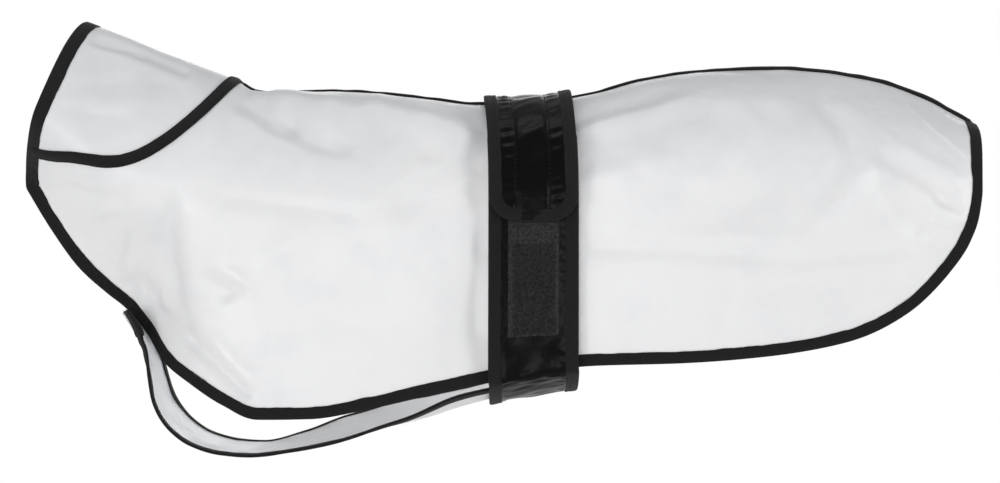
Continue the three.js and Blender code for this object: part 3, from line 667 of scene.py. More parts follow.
# The bib. A strap of film that runs from the chest, down in front of the
# forelegs and back under the belly into the belt, where it is sewn.
BIB_COLUMNS = ("x", "z", "half", "dish", "tilt")
BIB = columns(
    BIB_COLUMNS,
    (
        (-244.6, -120.5, 20, 5, 0),
        (-233.0, -138.0, 24, 5, 0),
        (-228.4, -148.0, 29, 4, 0),
        (-226.0, -161.3, 36, 2, 0),
        (-222.7, -175.0, 42, 2, 0),
        (-215.0, -188.7, 47, 1, 0),
        (-199.9, -200.7, 49, 0, 0),
        (-182.3, -205.9, 50, 0, 0),
        (-164.8, -207.3, 50, 0, 0.2),
        (-138.6, -204.1, 50, 0, 3.8),
        (-112.5, -198.7, 49, 1, 8.0),
        (-86.3, -189.7, 48, 5, 8.0),
        (-60.1, -181.3, 48, 8, 5.5),
        (-33.9, -170.5, 48, 9, 0.6),
        (-8, -166, 48, 9, 0),
        (17, -162, 48, 9, 0),
    ),
)
BIB_FIRST = 0.14
BIB_LAST = 15
BIB_TOP_TUCK = 0.07
BELLY_DROP = 14
BIB_ROWS = 210
BIB_ACROSS = 44
BIB_CORNER_SET = 2.6


def section_at(x, w):
    """Section number at which the coat crosses x, at one height round the body."""
    low = np.full(np.shape(x), 8.0)
    high = np.full(np.shape(x), 17.0)
    for _ in range(22):
        middle = (low + high) / 2
        short = body_form(middle, w)[..., 0] < x
        low = np.where(short, middle, low)
        high = np.where(short, high, middle)
    return (low + high) / 2


def belly_height(x, y):
    """Height of the belly line under the belt, between the two hems."""
    x, y = np.broadcast_arrays(x, y)
    hem = np.full(x.shape, -1.0)
    left = body_form(section_at(x, hem), hem)
    flat = np.maximum(0, 1 - (y / left[..., 1]) ** 2)
    return left[..., 2] - BELLY_DROP * flat**0.75


def bib_form(u, share):
    """Outer face of the bib; u is the row of its table, share runs from -1 to 1 across it."""
    u, share = np.broadcast_arrays(np.asarray(u, float), np.asarray(share, float))
    x, z, half = (along(BIB[name], u) for name in ("x", "z", "half"))
    y = share * half
    dx = along(BIB["x"], u + 0.02) - along(BIB["x"], u - 0.02)
    dz = along(BIB["z"], u + 0.02) - along(BIB["z"], u - 0.02)
    dish = along(BIB["dish"], u) * (1 - share**2) / np.maximum(np.hypot(dx, dz), 1e-9)
    tilt = along(BIB["tilt"], u) * (1 + share) / 2
    hung = np.stack([x + dish * dz, y, z - dish * dx + tilt], axis=-1)
    hung[..., 0] += BIB_CORNER_SET * share**2 * (1 - smooth(0.5, 1.3, u))
    held = smooth(-78, -30, x)
    hung[..., 2] += held * (belly_height(np.maximum(x, -90.0), y) + 0.3 - hung[..., 2])
    return hung


def bib_surface(u, share):
    """The bib with its soft waves along the strap."""
    point = bib_form(u, share)
    normal = -normal_of(bib_form, u, share, 0.02, 0.02, (0, BIB_LAST), (-1, 1))
    free = 1 - smooth(0.75, 1.0, np.abs(share))
    wave = 0.7 * soft_noise(u * 0.9, share * 1.2 + 7, 11) + 0.3 * soft_noise(u * 2.3, share * 2.6, 12)
    return point + normal * (wave * free)[..., None]


def bib_normal(u, share):
    return -normal_of(bib_surface, u, share, 0.02, 0.02, (0, BIB_LAST), (-1, 1))


u_grid, share_grid = np.meshgrid(
    np.linspace(BIB_FIRST, BIB_LAST, BIB_ROWS), np.linspace(-1, 1, BIB_ACROSS), indexing="ij"
)
share_grid = share_grid * (1 - BIB_TOP_TUCK * (1 - smooth(0.0, 1.1, u_grid)))
bib_face = bib_surface(u_grid, share_grid)
bib_finish = film_finish("frosted_bib_film", BIB_PAINTED_FRONT_SHADE)
bib = shell("bib_film", bib_face, bib_face - bib_normal(u_grid, share_grid) * FILM, bib_finish)
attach(bib, "root")
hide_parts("bib")

# The edge tapes. Black woven bias tape, folded in half over every raw edge of
# the film, with its own raw edges turned under, and sewn through with one line
# of lockstitch near its inner edge.
TAPE_WIDTH = 5.7
RIM_TAPE_WIDTH = 7.3
THROAT_TAPE_WIDTH = 9.6
TAPE_NOSE = 1.25
TAPE_UNDER = 0.06

# Section of the tape on one face, from its inner edge to the fold: share of
# its width in from the edge, and height over the film. The dip is the stitching.
TAPE_COLUMNS = ("share", "height")
TAPE_FACE = columns(
    TAPE_COLUMNS,
    (
        (0.985, 0.14),
        (1.0, 0.39),
        (0.97, 0.64),
        (0.9, 0.75),
        (0.78, 0.73),
        (0.71, 0.66),
        (0.655, 0.53),
        (0.6, 0.66),
        (0.5, 0.74),
        (0.33, 0.76),
        (0.16, 0.75),
        (0.03, 0.70),
    ),
)
STITCH_ROW = 6
FOLD_ANGLES = np.radians([25, 50, 72])
RING_STEP = 1.6
JOIN_RISE = 0.55
JOIN_SLANT = 6.5
DOUBLED_RISE = 1.1


def travel(surface, a, b, direction, distance):
    """Place on a surface at a distance from another in a given direction."""
    count = 4
    for _ in range(count):
        step_a = np.where(a > TAIL_END / 2, -0.01, 0.01)
        step_b = np.where(b > 0, -0.004, 0.004)
        here = surface(a, b)
        da = (surface(a + step_a, b) - here) / step_a[..., None]
        db = (surface(a, b + step_b) - here) / step_b[..., None]
        aa, ab, bb = ((da * da).sum(-1), (da * db).sum(-1), (db * db).sum(-1))
        ra, rb = ((direction * da).sum(-1), (direction * db).sum(-1))
        scale = distance / count / (aa * bb - ab * ab)
        a = a + (ra * bb - rb * ab) * scale
        b = b + (rb * aa - ra * ab) * scale
    return a, b


def even_path(places, step):
    """Places [a, b] on the coat, set out again at even steps along their line."""
    a, b = np.array(places, float).T
    fine = np.linspace(0, len(a) - 1, 40 * len(a))
    a = np.interp(fine, np.arange(len(a)), a)
    b = np.interp(fine, np.arange(len(b)), b)
    point = body_form(a, b)
    run = np.concatenate([[0], np.cumsum(np.linalg.norm(np.diff(point, axis=0), axis=1))])
    keep = np.linspace(0, run[-1], max(3, int(run[-1] / step)))
    return np.interp(keep, run, a), np.interp(keep, run, b)


def smoothed(values, window):
    """Running mean along the first axis, with the ends held."""
    pad = window // 2
    padded = np.concatenate([np.repeat(values[:1], pad, 0), values, np.repeat(values[-1:], pad, 0)])
    return np.stack([padded[i : i + len(values)] for i in range(window)]).mean(0)


def path_direction(points):
    return unit(np.gradient(points, axis=0))


class Face:
    """One face of cloth along an edge: points at the edge, half way in and at the tape's inner edge."""

    def __init__(self, edge, middle, leg, normal, leg_normal):
        self.edge = edge
        self.middle = middle
        self.leg = leg
        self.normal = normal
        self.leg_normal = leg_normal

    def at(self, share, height):
        """Point at a share of the tape's width in from the edge, at a height over the cloth."""
        a = (1 - share) * (1 - 2 * share)
        b = 4 * share * (1 - share)
        c = share * (2 * share - 1)
        normal = unit(self.normal * (1 - share) + self.leg_normal * share)
        return self.edge * a + self.middle * b + self.leg * c + normal * height

    def other_side(self, thickness):
        return Face(
            self.edge - self.normal * thickness,
            self.middle - unit(self.normal + self.leg_normal) * thickness,
            self.leg - self.leg_normal * thickness,
            -self.normal,
            -self.leg_normal,
        )


def coat_face(a, b, out, width):
    """Face of the coat along edge places a, b, running in from the edge against out."""
    middle = travel(body_form, a, b, -out, width / 2)
    leg = travel(body_form, a, b, -out, width)
    return Face(coat(a, b), coat(*middle), coat(*leg), coat_normal(a, b), coat_normal(*leg))


def tape_ring(front, back, out, run, seed, joins=(), doubled=0.0):
    """Outer and inner lines of a tape folded over an edge, from one inner edge round to the other.

    joins: where along the run one length of tape laps over the next, cut on the bias.
    doubled: length at the start over which the tape's end is turned back on itself.
    """
    middle = (front.edge + back.edge) / 2
    outer, inner, across = [], [], []
    turned_back = 0 * run
    if doubled:
        turned_back = DOUBLED_RISE * smooth(0, doubled * 0.8, run) * (1 - smooth(doubled - 1.0, doubled, run))
    waver = 0.045 * soft_noise(run / 7.5, 0 * run + seed, 21)
    waver += 0.025 * soft_noise(run / 2.6, 0 * run + seed, 22)
    puff = 0.12 * soft_noise(run / 9.0, 0 * run + seed, 23)
    for face, sign in ((front, 1), (back, -1)):
        part_outer, part_inner, part_across = [], [], []
        for share, height in zip(TAPE_FACE["share"], TAPE_FACE["height"]):
            edge_waver = waver * (share > 0.8)
            lap = turned_back
            for join in joins:
                bias = run - join - (share - 0.5) * JOIN_SLANT
                lap = lap + JOIN_RISE * smooth(-0.8, 0.8, bias) * (1 - smooth(8.0, 13.0, bias))
            lift = (height * (1 + puff + lap))[:, None]
            part_outer.append(face.at((share + edge_waver)[:, None], lift))
            part_inner.append(face.at(min(share, 0.97) + 0 * run[:, None], TAPE_UNDER))
            part_across.append(sign * share * TAPE_WIDTH)
        crest_height = TAPE_FACE["height"][-1] * (1 + puff + turned_back)
        crest = face.edge + face.normal * crest_height[:, None] - middle
        under = face.edge + face.normal * TAPE_UNDER - middle
        for angle in FOLD_ANGLES:
            nose = out * (math.sin(angle) * TAPE_NOSE * (1 + 0.8 * turned_back))[:, None]
            part_outer.append(middle + crest * math.cos(angle) + nose)
            part_inner.append(middle + under * math.cos(angle) + nose * 0.25)
            part_across.append(-sign * math.sin(angle) * TAPE_NOSE * 0.5)
        if sign < 0:
            part_outer.reverse()
            part_inner.reverse()
            part_across.reverse()
        else:
            part_outer.append(middle + out * (TAPE_NOSE * (1 + 0.8 * turned_back))[:, None])
            part_inner.append(middle + out * TAPE_NOSE * 0.3)
            part_across.append(0.0)
        outer += part_outer
        inner += part_inner
        across += part_across
    return np.stack(outer, axis=1), np.stack(inner, axis=1), np.array(across)


def swept(name, outer, inner, run, across, finish):
    """Closed body between two strips of points, with run and across as its map, in metres."""
    count, width = outer.shape[:2]
    ring = np.concatenate([outer, inner[:, ::-1]], axis=1)
    index = np.arange(count * 2 * width).reshape(count, 2 * width)
    loop = np.concatenate([index, index[:, :1]], axis=1)
    faces = [quads(loop)]
    v = np.concatenate([across, across[::-1], across[:1]]) * MM
    u = run * MM
    corner_u = np.stack([u[:-1], u[1:], u[1:], u[:-1]], axis=-1)[:, None, :]
    corner_v = np.stack([v[:-1], v[:-1], v[1:], v[1:]], axis=-1)[None, :, :]
    shape = (count - 1, 2 * width, 4)
    corner_uv = np.stack([np.broadcast_to(corner_u, shape), np.broadcast_to(corner_v, shape)], axis=-1)
    uv = [corner_uv.reshape(-1, 4, 2)]
    for row, flip in ((0, False), (count - 1, True)):
        cap = np.stack([index[row, :width], index[row, width:][::-1]], axis=1)
        cap_faces = quads(cap, flip)
        faces.append(cap_faces)
        uv.append(np.zeros((len(cap_faces), 4, 2)))
    return add_piece(name, ring.reshape(-1, 3), np.concatenate(faces), finish, np.concatenate(uv))


def tape_finish():
    """Woven bias tape: matt black with fine slanting ribs and a little lint."""
    finish = Finish("bias_tape", Specular_IOR_Level=0.24, Sheen_Weight=0.02, Sheen_Roughness=0.4)
    map_place = finish.node("ShaderNodeUVMap", {"uv_map": "cut"}, {})
    u = finish.part(map_place, "X")
    v = finish.part(map_place, "Y")
    ribs = ((u + v * 1.15) * (2 * math.pi / 0.0016)).sine() * 0.5 + 0.5
    yarn = ((u * 1.1 - v) * (2 * math.pi / 0.00042)).sine() * 0.5 + 0.5
    cloth = finish.noise(finish.place(), 240.0, 3.0, 0.6)
    weave = ribs * 0.75 + yarn * 0.25
    shade = (weave * 0.55 + cloth * 0.45).clamped(0.0, 1.0)
    colour = finish.mixed(shade, (0.002, 0.002, 0.0024, 1.0), (0.0145, 0.0145, 0.016, 1.0))
    roughness = 0.55 + cloth * 0.2
    fine = finish.bump(weave, 0.0003, 1.0)
    normal = finish.bump(cloth, 0.0005, 0.5, fine)
    return finish.feed(Base_Color=colour, Roughness=roughness, Normal=normal)


tape = tape_finish()
stitch_lines = []


def edge_binding(name, node, places, inward, width, seed, joins=()):
    """Folded tape along places on the coat's edge; inward gives a place inside the cloth for each."""
    a, b = even_path(places, RING_STEP)
    point = smoothed(body_form(a, b), 3)
    normal = coat_normal(a, b)
    out = unit(np.cross(path_direction(point), normal))
    inside = body_form(*inward(a, b))
    out = np.where(((point - inside) * out).sum(-1, keepdims=True) < 0, -out, out)
    out = unit(smoothed(out, 5))
    run = np.concatenate([[0], np.cumsum(np.linalg.norm(np.diff(point, axis=0), axis=1))])
    front = coat_face(a, b, out, width(a, b))
    outer, inner, across_map = tape_ring(front, front.other_side(FILM), out, run, seed, joins)
    piece = swept(name, outer, inner, run, across_map, tape)
    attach(piece, "root")
    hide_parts(node)
    for face in (front, front.other_side(FILM)):
        share = TAPE_FACE["share"][STITCH_ROW] + 0 * run[:, None]
        stitch_lines.append((face.at(share, TAPE_FACE["height"][STITCH_ROW]), face.normal))


RIM_TAPE_END = 0.965
CHEST_SPLIT = 4.22


def rim_width(a, b):
    """Width of the tape round the neck rim, where it draws wider towards the throat."""
    return RIM_TAPE_WIDTH + (THROAT_TAPE_WIDTH - RIM_TAPE_WIDTH) * smooth(0.68, 0.92, np.abs(b))


def hem_width(a, b):
    """Width of the tape along the hem, the same all the way."""
    return TAPE_WIDTH + 0 * a


rim_places = [(0, w) for w in np.linspace(-RIM_TAPE_END, RIM_TAPE_END, 61)]
edge_binding("rim_binding", "rim_tape", rim_places, lambda a, b: (a + 0.1, b), rim_width, 1)

# Where lengths of tape meet on the hem: under the chest and under the rump.
HEM_JOINS = (72.0, 500.0)
hem_sections = list(np.linspace(CHEST_SPLIT - 0.3, 26.9, 180))
hem_places = [(s, -1) for s in hem_sections] + [(TAIL_END, 0)] + [(s, 1) for s in hem_sections[::-1]]
edge_binding(
    "hem_binding",
    "hem_tape",
    hem_places,
    lambda a, b: (a - 0.02, b * 0.98),
    hem_width,
    2,
    HEM_JOINS,
)


# The front tape. One length of the same tape that closes the two front edges
# face to face, from the neck rim round the throat and down to the chest.
front_places = [(0, 0.9), (0, 0.92), (0, 0.94), (0, 0.96), (0, 0.98), (0, 1)]
front_places += [(s, 1) for s in np.linspace(0.04, CHEST_SPLIT, 50)]
a, b = even_path(front_places, RING_STEP)
middle = smoothed(body_form(a, b) * (1, 0, 1), 7)
direction = path_direction(middle)
front_out = np.stack([direction[:, 2], 0 * a, -direction[:, 0]], axis=-1)
inside = body_form(np.maximum(a, 0.3), b * 0.9) * (1, 0, 1)
front_out = np.where(((middle - inside) * front_out).sum(-1, keepdims=True) < 0, -front_out, front_out)
front_out = unit(smoothed(front_out, 5))
run = np.concatenate([[0], np.cumsum(np.linalg.norm(np.diff(middle, axis=0), axis=1))])
front_width = THROAT_TAPE_WIDTH + (RIM_TAPE_WIDTH - THROAT_TAPE_WIDTH) * smooth(0.0, 0.7, a)
front_width = front_width + (TAPE_WIDTH - RIM_TAPE_WIDTH) * smooth(1.2, CHEST_SPLIT, a)
left_face = coat_face(a, -b, front_out, front_width)
right_face = coat_face(a, b, front_out, front_width)
outer, inner, across_map = tape_ring(left_face, right_face, front_out, run, 3)
front_binding = swept("front_binding", outer, inner, run, across_map, tape)
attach(front_binding, "root")
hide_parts("front_tape")
for face in (left_face, right_face):
    share = TAPE_FACE["share"][STITCH_ROW] + 0 * run[:, None]
    stitch_lines.append((face.at(share, TAPE_FACE["height"][STITCH_ROW]), face.normal))

# The bib's side tapes. The same folded tape along both long edges of the bib, with its end turned back on
# itself where it ends at the chest.
BIB_TAPE_TURN_BACK = 19.0

for side, node in ((-1, "bib_tape_left"), (1, "bib_tape_right")):
    u = np.linspace(BIB_FIRST - 0.02, BIB_LAST, 330)
    share = side * (1 - BIB_TOP_TUCK * (1 - smooth(0.0, 1.1, u)))
    width_share = TAPE_WIDTH / along(BIB["half"], u)
    edge = bib_surface(u, share)
    half_way = bib_surface(u, share - side * width_share / 2)
    leg = bib_surface(u, share - side * width_share)
    normal = bib_normal(u, share)
    out = edge - leg
    out = unit(out - normal * (out * normal).sum(-1, keepdims=True))
    run = np.concatenate([[0], np.cumsum(np.linalg.norm(np.diff(edge, axis=0), axis=1))])
    face = Face(edge, half_way, leg, normal, bib_normal(u, share - side * width_share))
    outer, inner, across_map = tape_ring(
        face, face.other_side(FILM), out, run, 5 + side, doubled=BIB_TAPE_TURN_BACK
    )
    piece = swept(node.replace("tape", "binding"), outer, inner, run, across_map, tape)
    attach(piece, "root")
    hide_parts(node)
    for line_face in (face, face.other_side(FILM)):
        stitch_share = TAPE_FACE["share"][STITCH_ROW] + 0 * run[:, None]
        stitch_lines.append((line_face.at(stitch_share, TAPE_FACE["height"][STITCH_ROW]), line_face.normal))

# The flat tapes. The same tape pressed flat over the spine seam and over the
# collar seam, with both edges turned under and sewn down.
FLAT_HALF = 3.55
FLAT_COLUMNS = ("across", "height")
FLAT_FACE = columns(
    FLAT_COLUMNS,
    (
        (-1.0, 0.19),
        (-1.02, 0.67),
        (-0.97, 1.10),
        (-0.87, 1.23),
        (-0.76, 1.05),
        (-0.65, 1.34),
        (-0.3, 1.63),
        (0.0, 1.74),
        (0.3, 1.63),
        (0.65, 1.34),
        (0.76, 1.05),
        (0.87, 1.23),
        (0.97, 1.10),
        (1.02, 0.67),
        (1.0, 0.19),
    ),
)
FLAT_STITCH = 0.76


def flat_tape(name, node, a, b, square, seed):
    """Flat tape over a seam; square is the direction across it at each place."""
    lines = []
    run = np.concatenate([[0], np.cumsum(np.linalg.norm(np.diff(coat(a, b), axis=0), axis=1))])
    for share in (-1.0, 0.0, 1.0):
        place = travel(body_form, a, b, square, share * FLAT_HALF)
        lines.append((coat(*place), coat_normal(*place)))
    (left, left_normal), (mid, mid_normal), (right, right_normal) = lines

    def at(share, height):
        c_left, c_mid, c_right = share * (share - 1) / 2, 1 - share**2, share * (share + 1) / 2
        point = left * c_left + mid * c_mid + right * c_right
        normal = unit(left_normal * c_left + mid_normal * c_mid + right_normal * c_right)
        return point + normal * height, normal

    puff = 1 + 0.14 * soft_noise(run / 8.0, 0 * run + seed, 31)[:, None]
    outer, inner = [], []
    for share, height in zip(FLAT_FACE["across"], FLAT_FACE["height"]):
        waver = 0.018 * soft_noise(run / 4.0, 0 * run + seed + share, 32)[:, None]
        outer.append(at(share * (1 + waver), height * puff)[0])
        inner.append(at(np.clip(share, -0.97, 0.97), TAPE_UNDER)[0])
    piece = swept(
        name, np.stack(outer, axis=1), np.stack(inner, axis=1), run, FLAT_FACE["across"] * FLAT_HALF, tape
    )
    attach(piece, "root")
    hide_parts(node)
    for share in (-FLAT_STITCH, FLAT_STITCH):
        point, normal = at(share, 1.12)
        stitch_lines.append((point, normal))


spine_a, spine_b = even_path([(s, 0) for s in np.linspace(COLLAR_END + 0.3, 26.85, 120)], 2.0)
sideways = np.tile((0.0, 1.0, 0.0), (len(spine_a), 1))
flat_tape("spine_strip", "spine_tape", spine_a, spine_b, sideways, 1)

seam_across = np.linspace(-1, 1, 160)
seam_side = np.where(seam_across < 0, -1.0, 1.0)
seam_s, seam_w = collar_seam(1 - np.abs(seam_across) * 0.982)
seam_w = seam_w * seam_side
seam_path = smoothed(body_form(seam_s, seam_w), 5)
seam_square = unit(np.cross(path_direction(seam_path), coat_normal(seam_s, seam_w)))
flat_tape("collar_strip", "collar_tape", seam_s, seam_w, seam_square, 2)

# The girth belt. One long strip of black satin that goes round the coat and
# the bib: from the left flank down under the belly, up the right side, over the
# back, and down the left flank again as a flap with a round end. It is bound
# with tape like the coat, and the satin gathers a little along the sewing.
BELT = 0.8
BELT_HALF = 25.1
BELT_START = 0.3
BELT_END = 3.55
BELT_LIFT = 2.9
BACK_LIFT = 4.0
FLAP_LIFT = 7.0
FLAP_CORNER = 15
GIRTH_UNIT = 194
LEVEL_RISE = 0.0007
BELT_LEAN = 2.8
BELT_ACROSS = 72
BELT_ROWS = 400
FLAP_LINES = (-10.7, 10.0)
CLOSURE_HALF = 15.0
BELT_TAPE_WIDTH = 6.2


def girth_base(x, turn):
    """Line round the body that the belt follows.

    turn is 0 at the spine, 1 at the left hem, 2 at the right hem and 3 at the spine again.
    """
    w = np.where(turn >= 2, 3 - turn, -turn)
    w = np.where((turn > 1) & (turn < 2), -1.0, w)
    down = np.abs(w)
    level = LEVEL_RISE * x * smooth(0.1, 0.4, down) * (1 - smooth(0.86, 1, down))
    w = w + np.sign(w) * level
    lean = BELT_LEAN * (1 - smooth(0, 0.42, down))
    point = body_form(section_at(x - lean, w), w)
    under = (turn > 1) & (turn < 2)
    hem = np.full(x.shape, -1.0)
    left = body_form(section_at(x, hem), hem)
    y = left[..., 1] * np.cos((turn - 1) * math.pi)
    z = left[..., 2] - BELLY_DROP * np.maximum(0, 1 - (y / left[..., 1]) ** 2) ** 0.75
    below = np.stack([x, y, z], axis=-1)
    return np.where(under[..., None], below, point)


def belt_lift(turn):
    hems = np.exp(-(((turn - 1) / 0.07) ** 2)) + np.exp(-(((turn - 2) / 0.07) ** 2))
    back = (BACK_LIFT - BELT_LIFT) * smooth(2.6, 2.95, turn)
    return BELT_LIFT + 0.7 * hems + back + (FLAP_LIFT - BACK_LIFT) * smooth(2.98, 3.27, turn)


# The belt's line is worked out once on a close net, rounded at the hems, and
# every piece of the belt then reads its places from that net.
net_x = np.linspace(-BELT_HALF - 3, BELT_HALF + 3, 23)
net_turn = np.linspace(BELT_START - 0.02, BELT_END + 0.02, 560)
net = girth_base(*np.meshgrid(net_x, net_turn, indexing="ij"))
net = smoothed(net.transpose(1, 0, 2), 9).transpose(1, 0, 2)
net_normal = unit(np.cross(np.gradient(net, axis=1), np.gradient(net, axis=0)))
net = net + net_normal * belt_lift(net_turn)[None, :, None]


def read_net(values, x, turn):
    """Value of the net between its points."""
    i = np.clip((x - net_x[0]) / (net_x[1] - net_x[0]), 0, len(net_x) - 1.001)
    j = np.clip((turn - net_turn[0]) / (net_turn[1] - net_turn[0]), 0, len(net_turn) - 1.001)
    i0, j0 = i.astype(int), j.astype(int)
    f, g = (i - i0)[..., None], (j - j0)[..., None]
    near = values[i0, j0] * (1 - g) + values[i0, j0 + 1] * g
    far = values[i0 + 1, j0] * (1 - g) + values[i0 + 1, j0 + 1] * g
    return near * (1 - f) + far * f


def satin_height(x, turn):
    """Gathers between the sewing and the tape, and soft wrinkles in the middle of the belt."""
    length = turn * GIRTH_UNIT
    flap = smooth(2.95, 3.05, turn)
    line = np.where(x < 0, -FLAP_LINES[0], FLAP_LINES[1])
    inner_edge = BELT_HALF - BELT_TAPE_WIDTH
    sewn = line * flap + 15.4 * (1 - flap)
    middle = (sewn + inner_edge) / 2
    reach = (inner_edge - sewn) / 2
    band = np.exp(-(((np.abs(x) - middle) / (reach * 0.8)) ** 2))
    beat = length / 6.3 + 0.9 * soft_noise(length / 13.0, np.sign(x) * 3 + 9, 41) + x * 0.03
    gathers = np.sin(2 * math.pi * beat) * (0.62 + 0.38 * soft_noise(length / 17.0, x / 20 + 40, 42))
    height = (0.3 + 0.42 * flap) * band * gathers
    heart = 1 - smooth(line - 3.5, line, np.abs(x))
    slant = length + 0.55 * x
    folds = soft_noise(slant / 10.5, x / 26 + 3, 43) + 0.45 * soft_noise(slant / 4.6, x / 15 + 5, 44)
    height += (0.12 + 0.95 * flap) * heart * folds
    below = smooth(0.86, 0.92, turn) * (1 - smooth(2.1, 2.3, turn))
    free = 1 - smooth(inner_edge - 3, inner_edge, np.abs(x))
    height += 0.75 * below * free * soft_noise(slant / 9.0 + 30, (x - 0.4 * length) / 14, 45)
    sewing = np.exp(-(((np.abs(x) - line) / 0.9) ** 2)) * flap
    return height - 0.45 * sewing


def belt_point(x, turn, height=0.0):
    return read_net(net, x, turn) + belt_normal(x, turn) * np.asarray(height)[..., None]


def belt_normal(x, turn):
    return unit(read_net(net_normal, x, turn))


def flap_end(x):
    """Turn at which the rounded flap ends at x."""
    corner = np.maximum(0, np.abs(x) - (BELT_HALF - FLAP_CORNER))
    drop = FLAP_CORNER - np.sqrt(np.maximum(0, FLAP_CORNER**2 - corner**2))
    return BELT_END - drop / GIRTH_UNIT


def satin_finish():
    """Black satin: deep black, with soft glossy lights on its folds."""
    finish = Finish("belt_satin", Specular_IOR_Level=0.12, Sheen_Weight=0.0, IOR=1.5)
    place = finish.place()
    weave = finish.noise(finish.stretched(place, (1.0, 1.0, 0.12)), 2600.0, 1.0)
    cloth = finish.noise(place, 160.0, 4.0, 0.6)
    colour = finish.mixed(cloth, (0.0007, 0.0007, 0.001, 1.0), (0.0022, 0.0022, 0.0027, 1.0))
    roughness = 0.24 + cloth * 0.12
    soft = finish.bump(cloth, 0.0005, 0.6)
    normal = finish.bump(weave, 0.00005, 0.5, soft)
    return finish.feed(Base_Color=colour, Roughness=roughness, Normal=normal)


satin = satin_finish()

x_line = np.sin(np.linspace(-math.pi / 2, math.pi / 2, BELT_ACROSS + 1)) * BELT_HALF * 0.35
x_line += np.linspace(-BELT_HALF, BELT_HALF, BELT_ACROSS + 1) * 0.65
f = np.linspace(0, 1, BELT_ROWS)
turn_grid = BELT_START + (flap_end(x_line)[:, None] - BELT_START) * f
x_grid = np.repeat(x_line[:, None], BELT_ROWS, axis=1)
height_grid = satin_height(x_grid, turn_grid)
belt_outer = belt_point(x_grid, turn_grid, height_grid + BELT)
belt_inner = belt_point(x_grid, turn_grid, 0.35 * height_grid)
belt = shell("belt_satin", belt_outer, belt_inner, satin)
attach(belt, "root")
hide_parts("belt")

# The belt's tape. The same bias tape folded over the belt's long edges and
# round the end of the flap.
corner_turn = BELT_END - FLAP_CORNER / GIRTH_UNIT
flat_part = BELT_HALF - FLAP_CORNER
straight_turns = np.arange(BELT_START, corner_turn, RING_STEP / GIRTH_UNIT)
corner_angles = np.radians(np.linspace(0, 90, 18))


def belt_edge(inset):
    """Places on the belt at a distance in from its edge: down one side, round the flap and up the other."""
    radius = FLAP_CORNER - inset
    corner_x = flat_part + radius * np.cos(corner_angles)
    corner_turns = corner_turn + radius * np.sin(corner_angles) / GIRTH_UNIT
    end = np.linspace(-flat_part, flat_part, 9)[1:-1]
    x = [np.full(straight_turns.shape, -(BELT_HALF - inset)), -corner_x, end, corner_x[::-1]]
    x.append(np.full(straight_turns.shape, BELT_HALF - inset))
    turns = [straight_turns, corner_turns, np.full(end.shape, BELT_END - inset / GIRTH_UNIT)]
    turns += [corner_turns[::-1], straight_turns[::-1]]
    return np.concatenate(x), np.concatenate(turns)


BELT_JOINS = (70.0,)

edge_x, edge_turn = belt_edge(0.0)
half_x, half_turn = belt_edge(BELT_TAPE_WIDTH / 2)
leg_x, leg_turn = belt_edge(BELT_TAPE_WIDTH)
edge = belt_point(edge_x, edge_turn, BELT + 0 * edge_x)
leg = belt_point(leg_x, leg_turn, BELT + 0 * edge_x)
half_way = belt_point(half_x, half_turn, BELT + 0 * edge_x)
normal = belt_normal(edge_x, edge_turn)
out = edge - leg
out = unit(out - normal * (out * normal).sum(-1, keepdims=True))
run = np.concatenate([[0], np.cumsum(np.linalg.norm(np.diff(edge, axis=0), axis=1))])
face = Face(edge, half_way, leg, normal, belt_normal(leg_x, leg_turn))
outer, inner, across_map = tape_ring(face, face.other_side(BELT), out, run, 8, BELT_JOINS)
belt_binding = swept("belt_binding", outer, inner, run, across_map, tape)
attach(belt_binding, "root")
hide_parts("belt_tape")
belt_lines = []
for line_face in (face, face.other_side(BELT)):
    share = TAPE_FACE["share"][STITCH_ROW] + 0 * run[:, None]
    belt_lines.append((line_face.at(share, TAPE_FACE["height"][STITCH_ROW]), line_face.normal))

# The closure. A strip of loop tape sewn to the strap on the left flank, and a
# strip of hook tape sewn inside the flap, which presses onto it.
LOOP_TURNS = (0.45, 0.894)
HOOK_TURNS = (3.36, 3.5)
STRIP_BASE = 0.7
HOOK_HALF = 11.5


def strip(name, node, half, turns, low, high, finish):
    """Woven strip that follows the belt, with crosswise ridges on its outer face."""
    x, turn = np.meshgrid(np.linspace(-half, half, 26), np.linspace(*turns, 190), indexing="ij")
    edge_fall = 0.35 * smooth(half - 2.2, half, np.abs(x))
    ridges = 0.13 * np.sin(2 * math.pi * turn * GIRTH_UNIT / 1.5 + 0.8 * soft_noise(x / 6, turn * 30, 51))
    top = high + ridges * (1 - smooth(half - 3, half - 2, np.abs(x))) - edge_fall
    piece = shell(name, belt_point(x, turn, top), belt_point(x, turn, low + 0 * x), finish)
    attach(piece, "root")
    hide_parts(node)


def pile_finish():
    """Loop and hook tape: dull black nylon."""
    finish = Finish("closure_pile", Specular_IOR_Level=0.3, Sheen_Weight=0.06, Sheen_Roughness=0.5)
    cloth = (finish.noise(finish.place(), 620.0, 2.0, 0.6) * 2.4 - 0.7).clamped(0.0, 1.0)
    colour = finish.mixed(cloth, (0.0015, 0.0015, 0.002, 1.0), (0.042, 0.042, 0.045, 1.0))
    roughness = 0.62 + cloth * 0.25
    normal = finish.bump(cloth, 0.0006, 1.0)
    return finish.feed(Base_Color=colour, Roughness=roughness, Normal=normal)


pile = pile_finish()
LOOP_STRIP_HEIGHTS = (BELT + 0.1, BELT + STRIP_BASE)
HOOK_STRIP_HEIGHTS = (-0.9, -0.1)
strip("loop_strip_woven", "loop_strip", CLOSURE_HALF, LOOP_TURNS, *LOOP_STRIP_HEIGHTS, pile)
strip("hook_strip_woven", "hook_strip", HOOK_HALF, HOOK_TURNS, *HOOK_STRIP_HEIGHTS, pile)

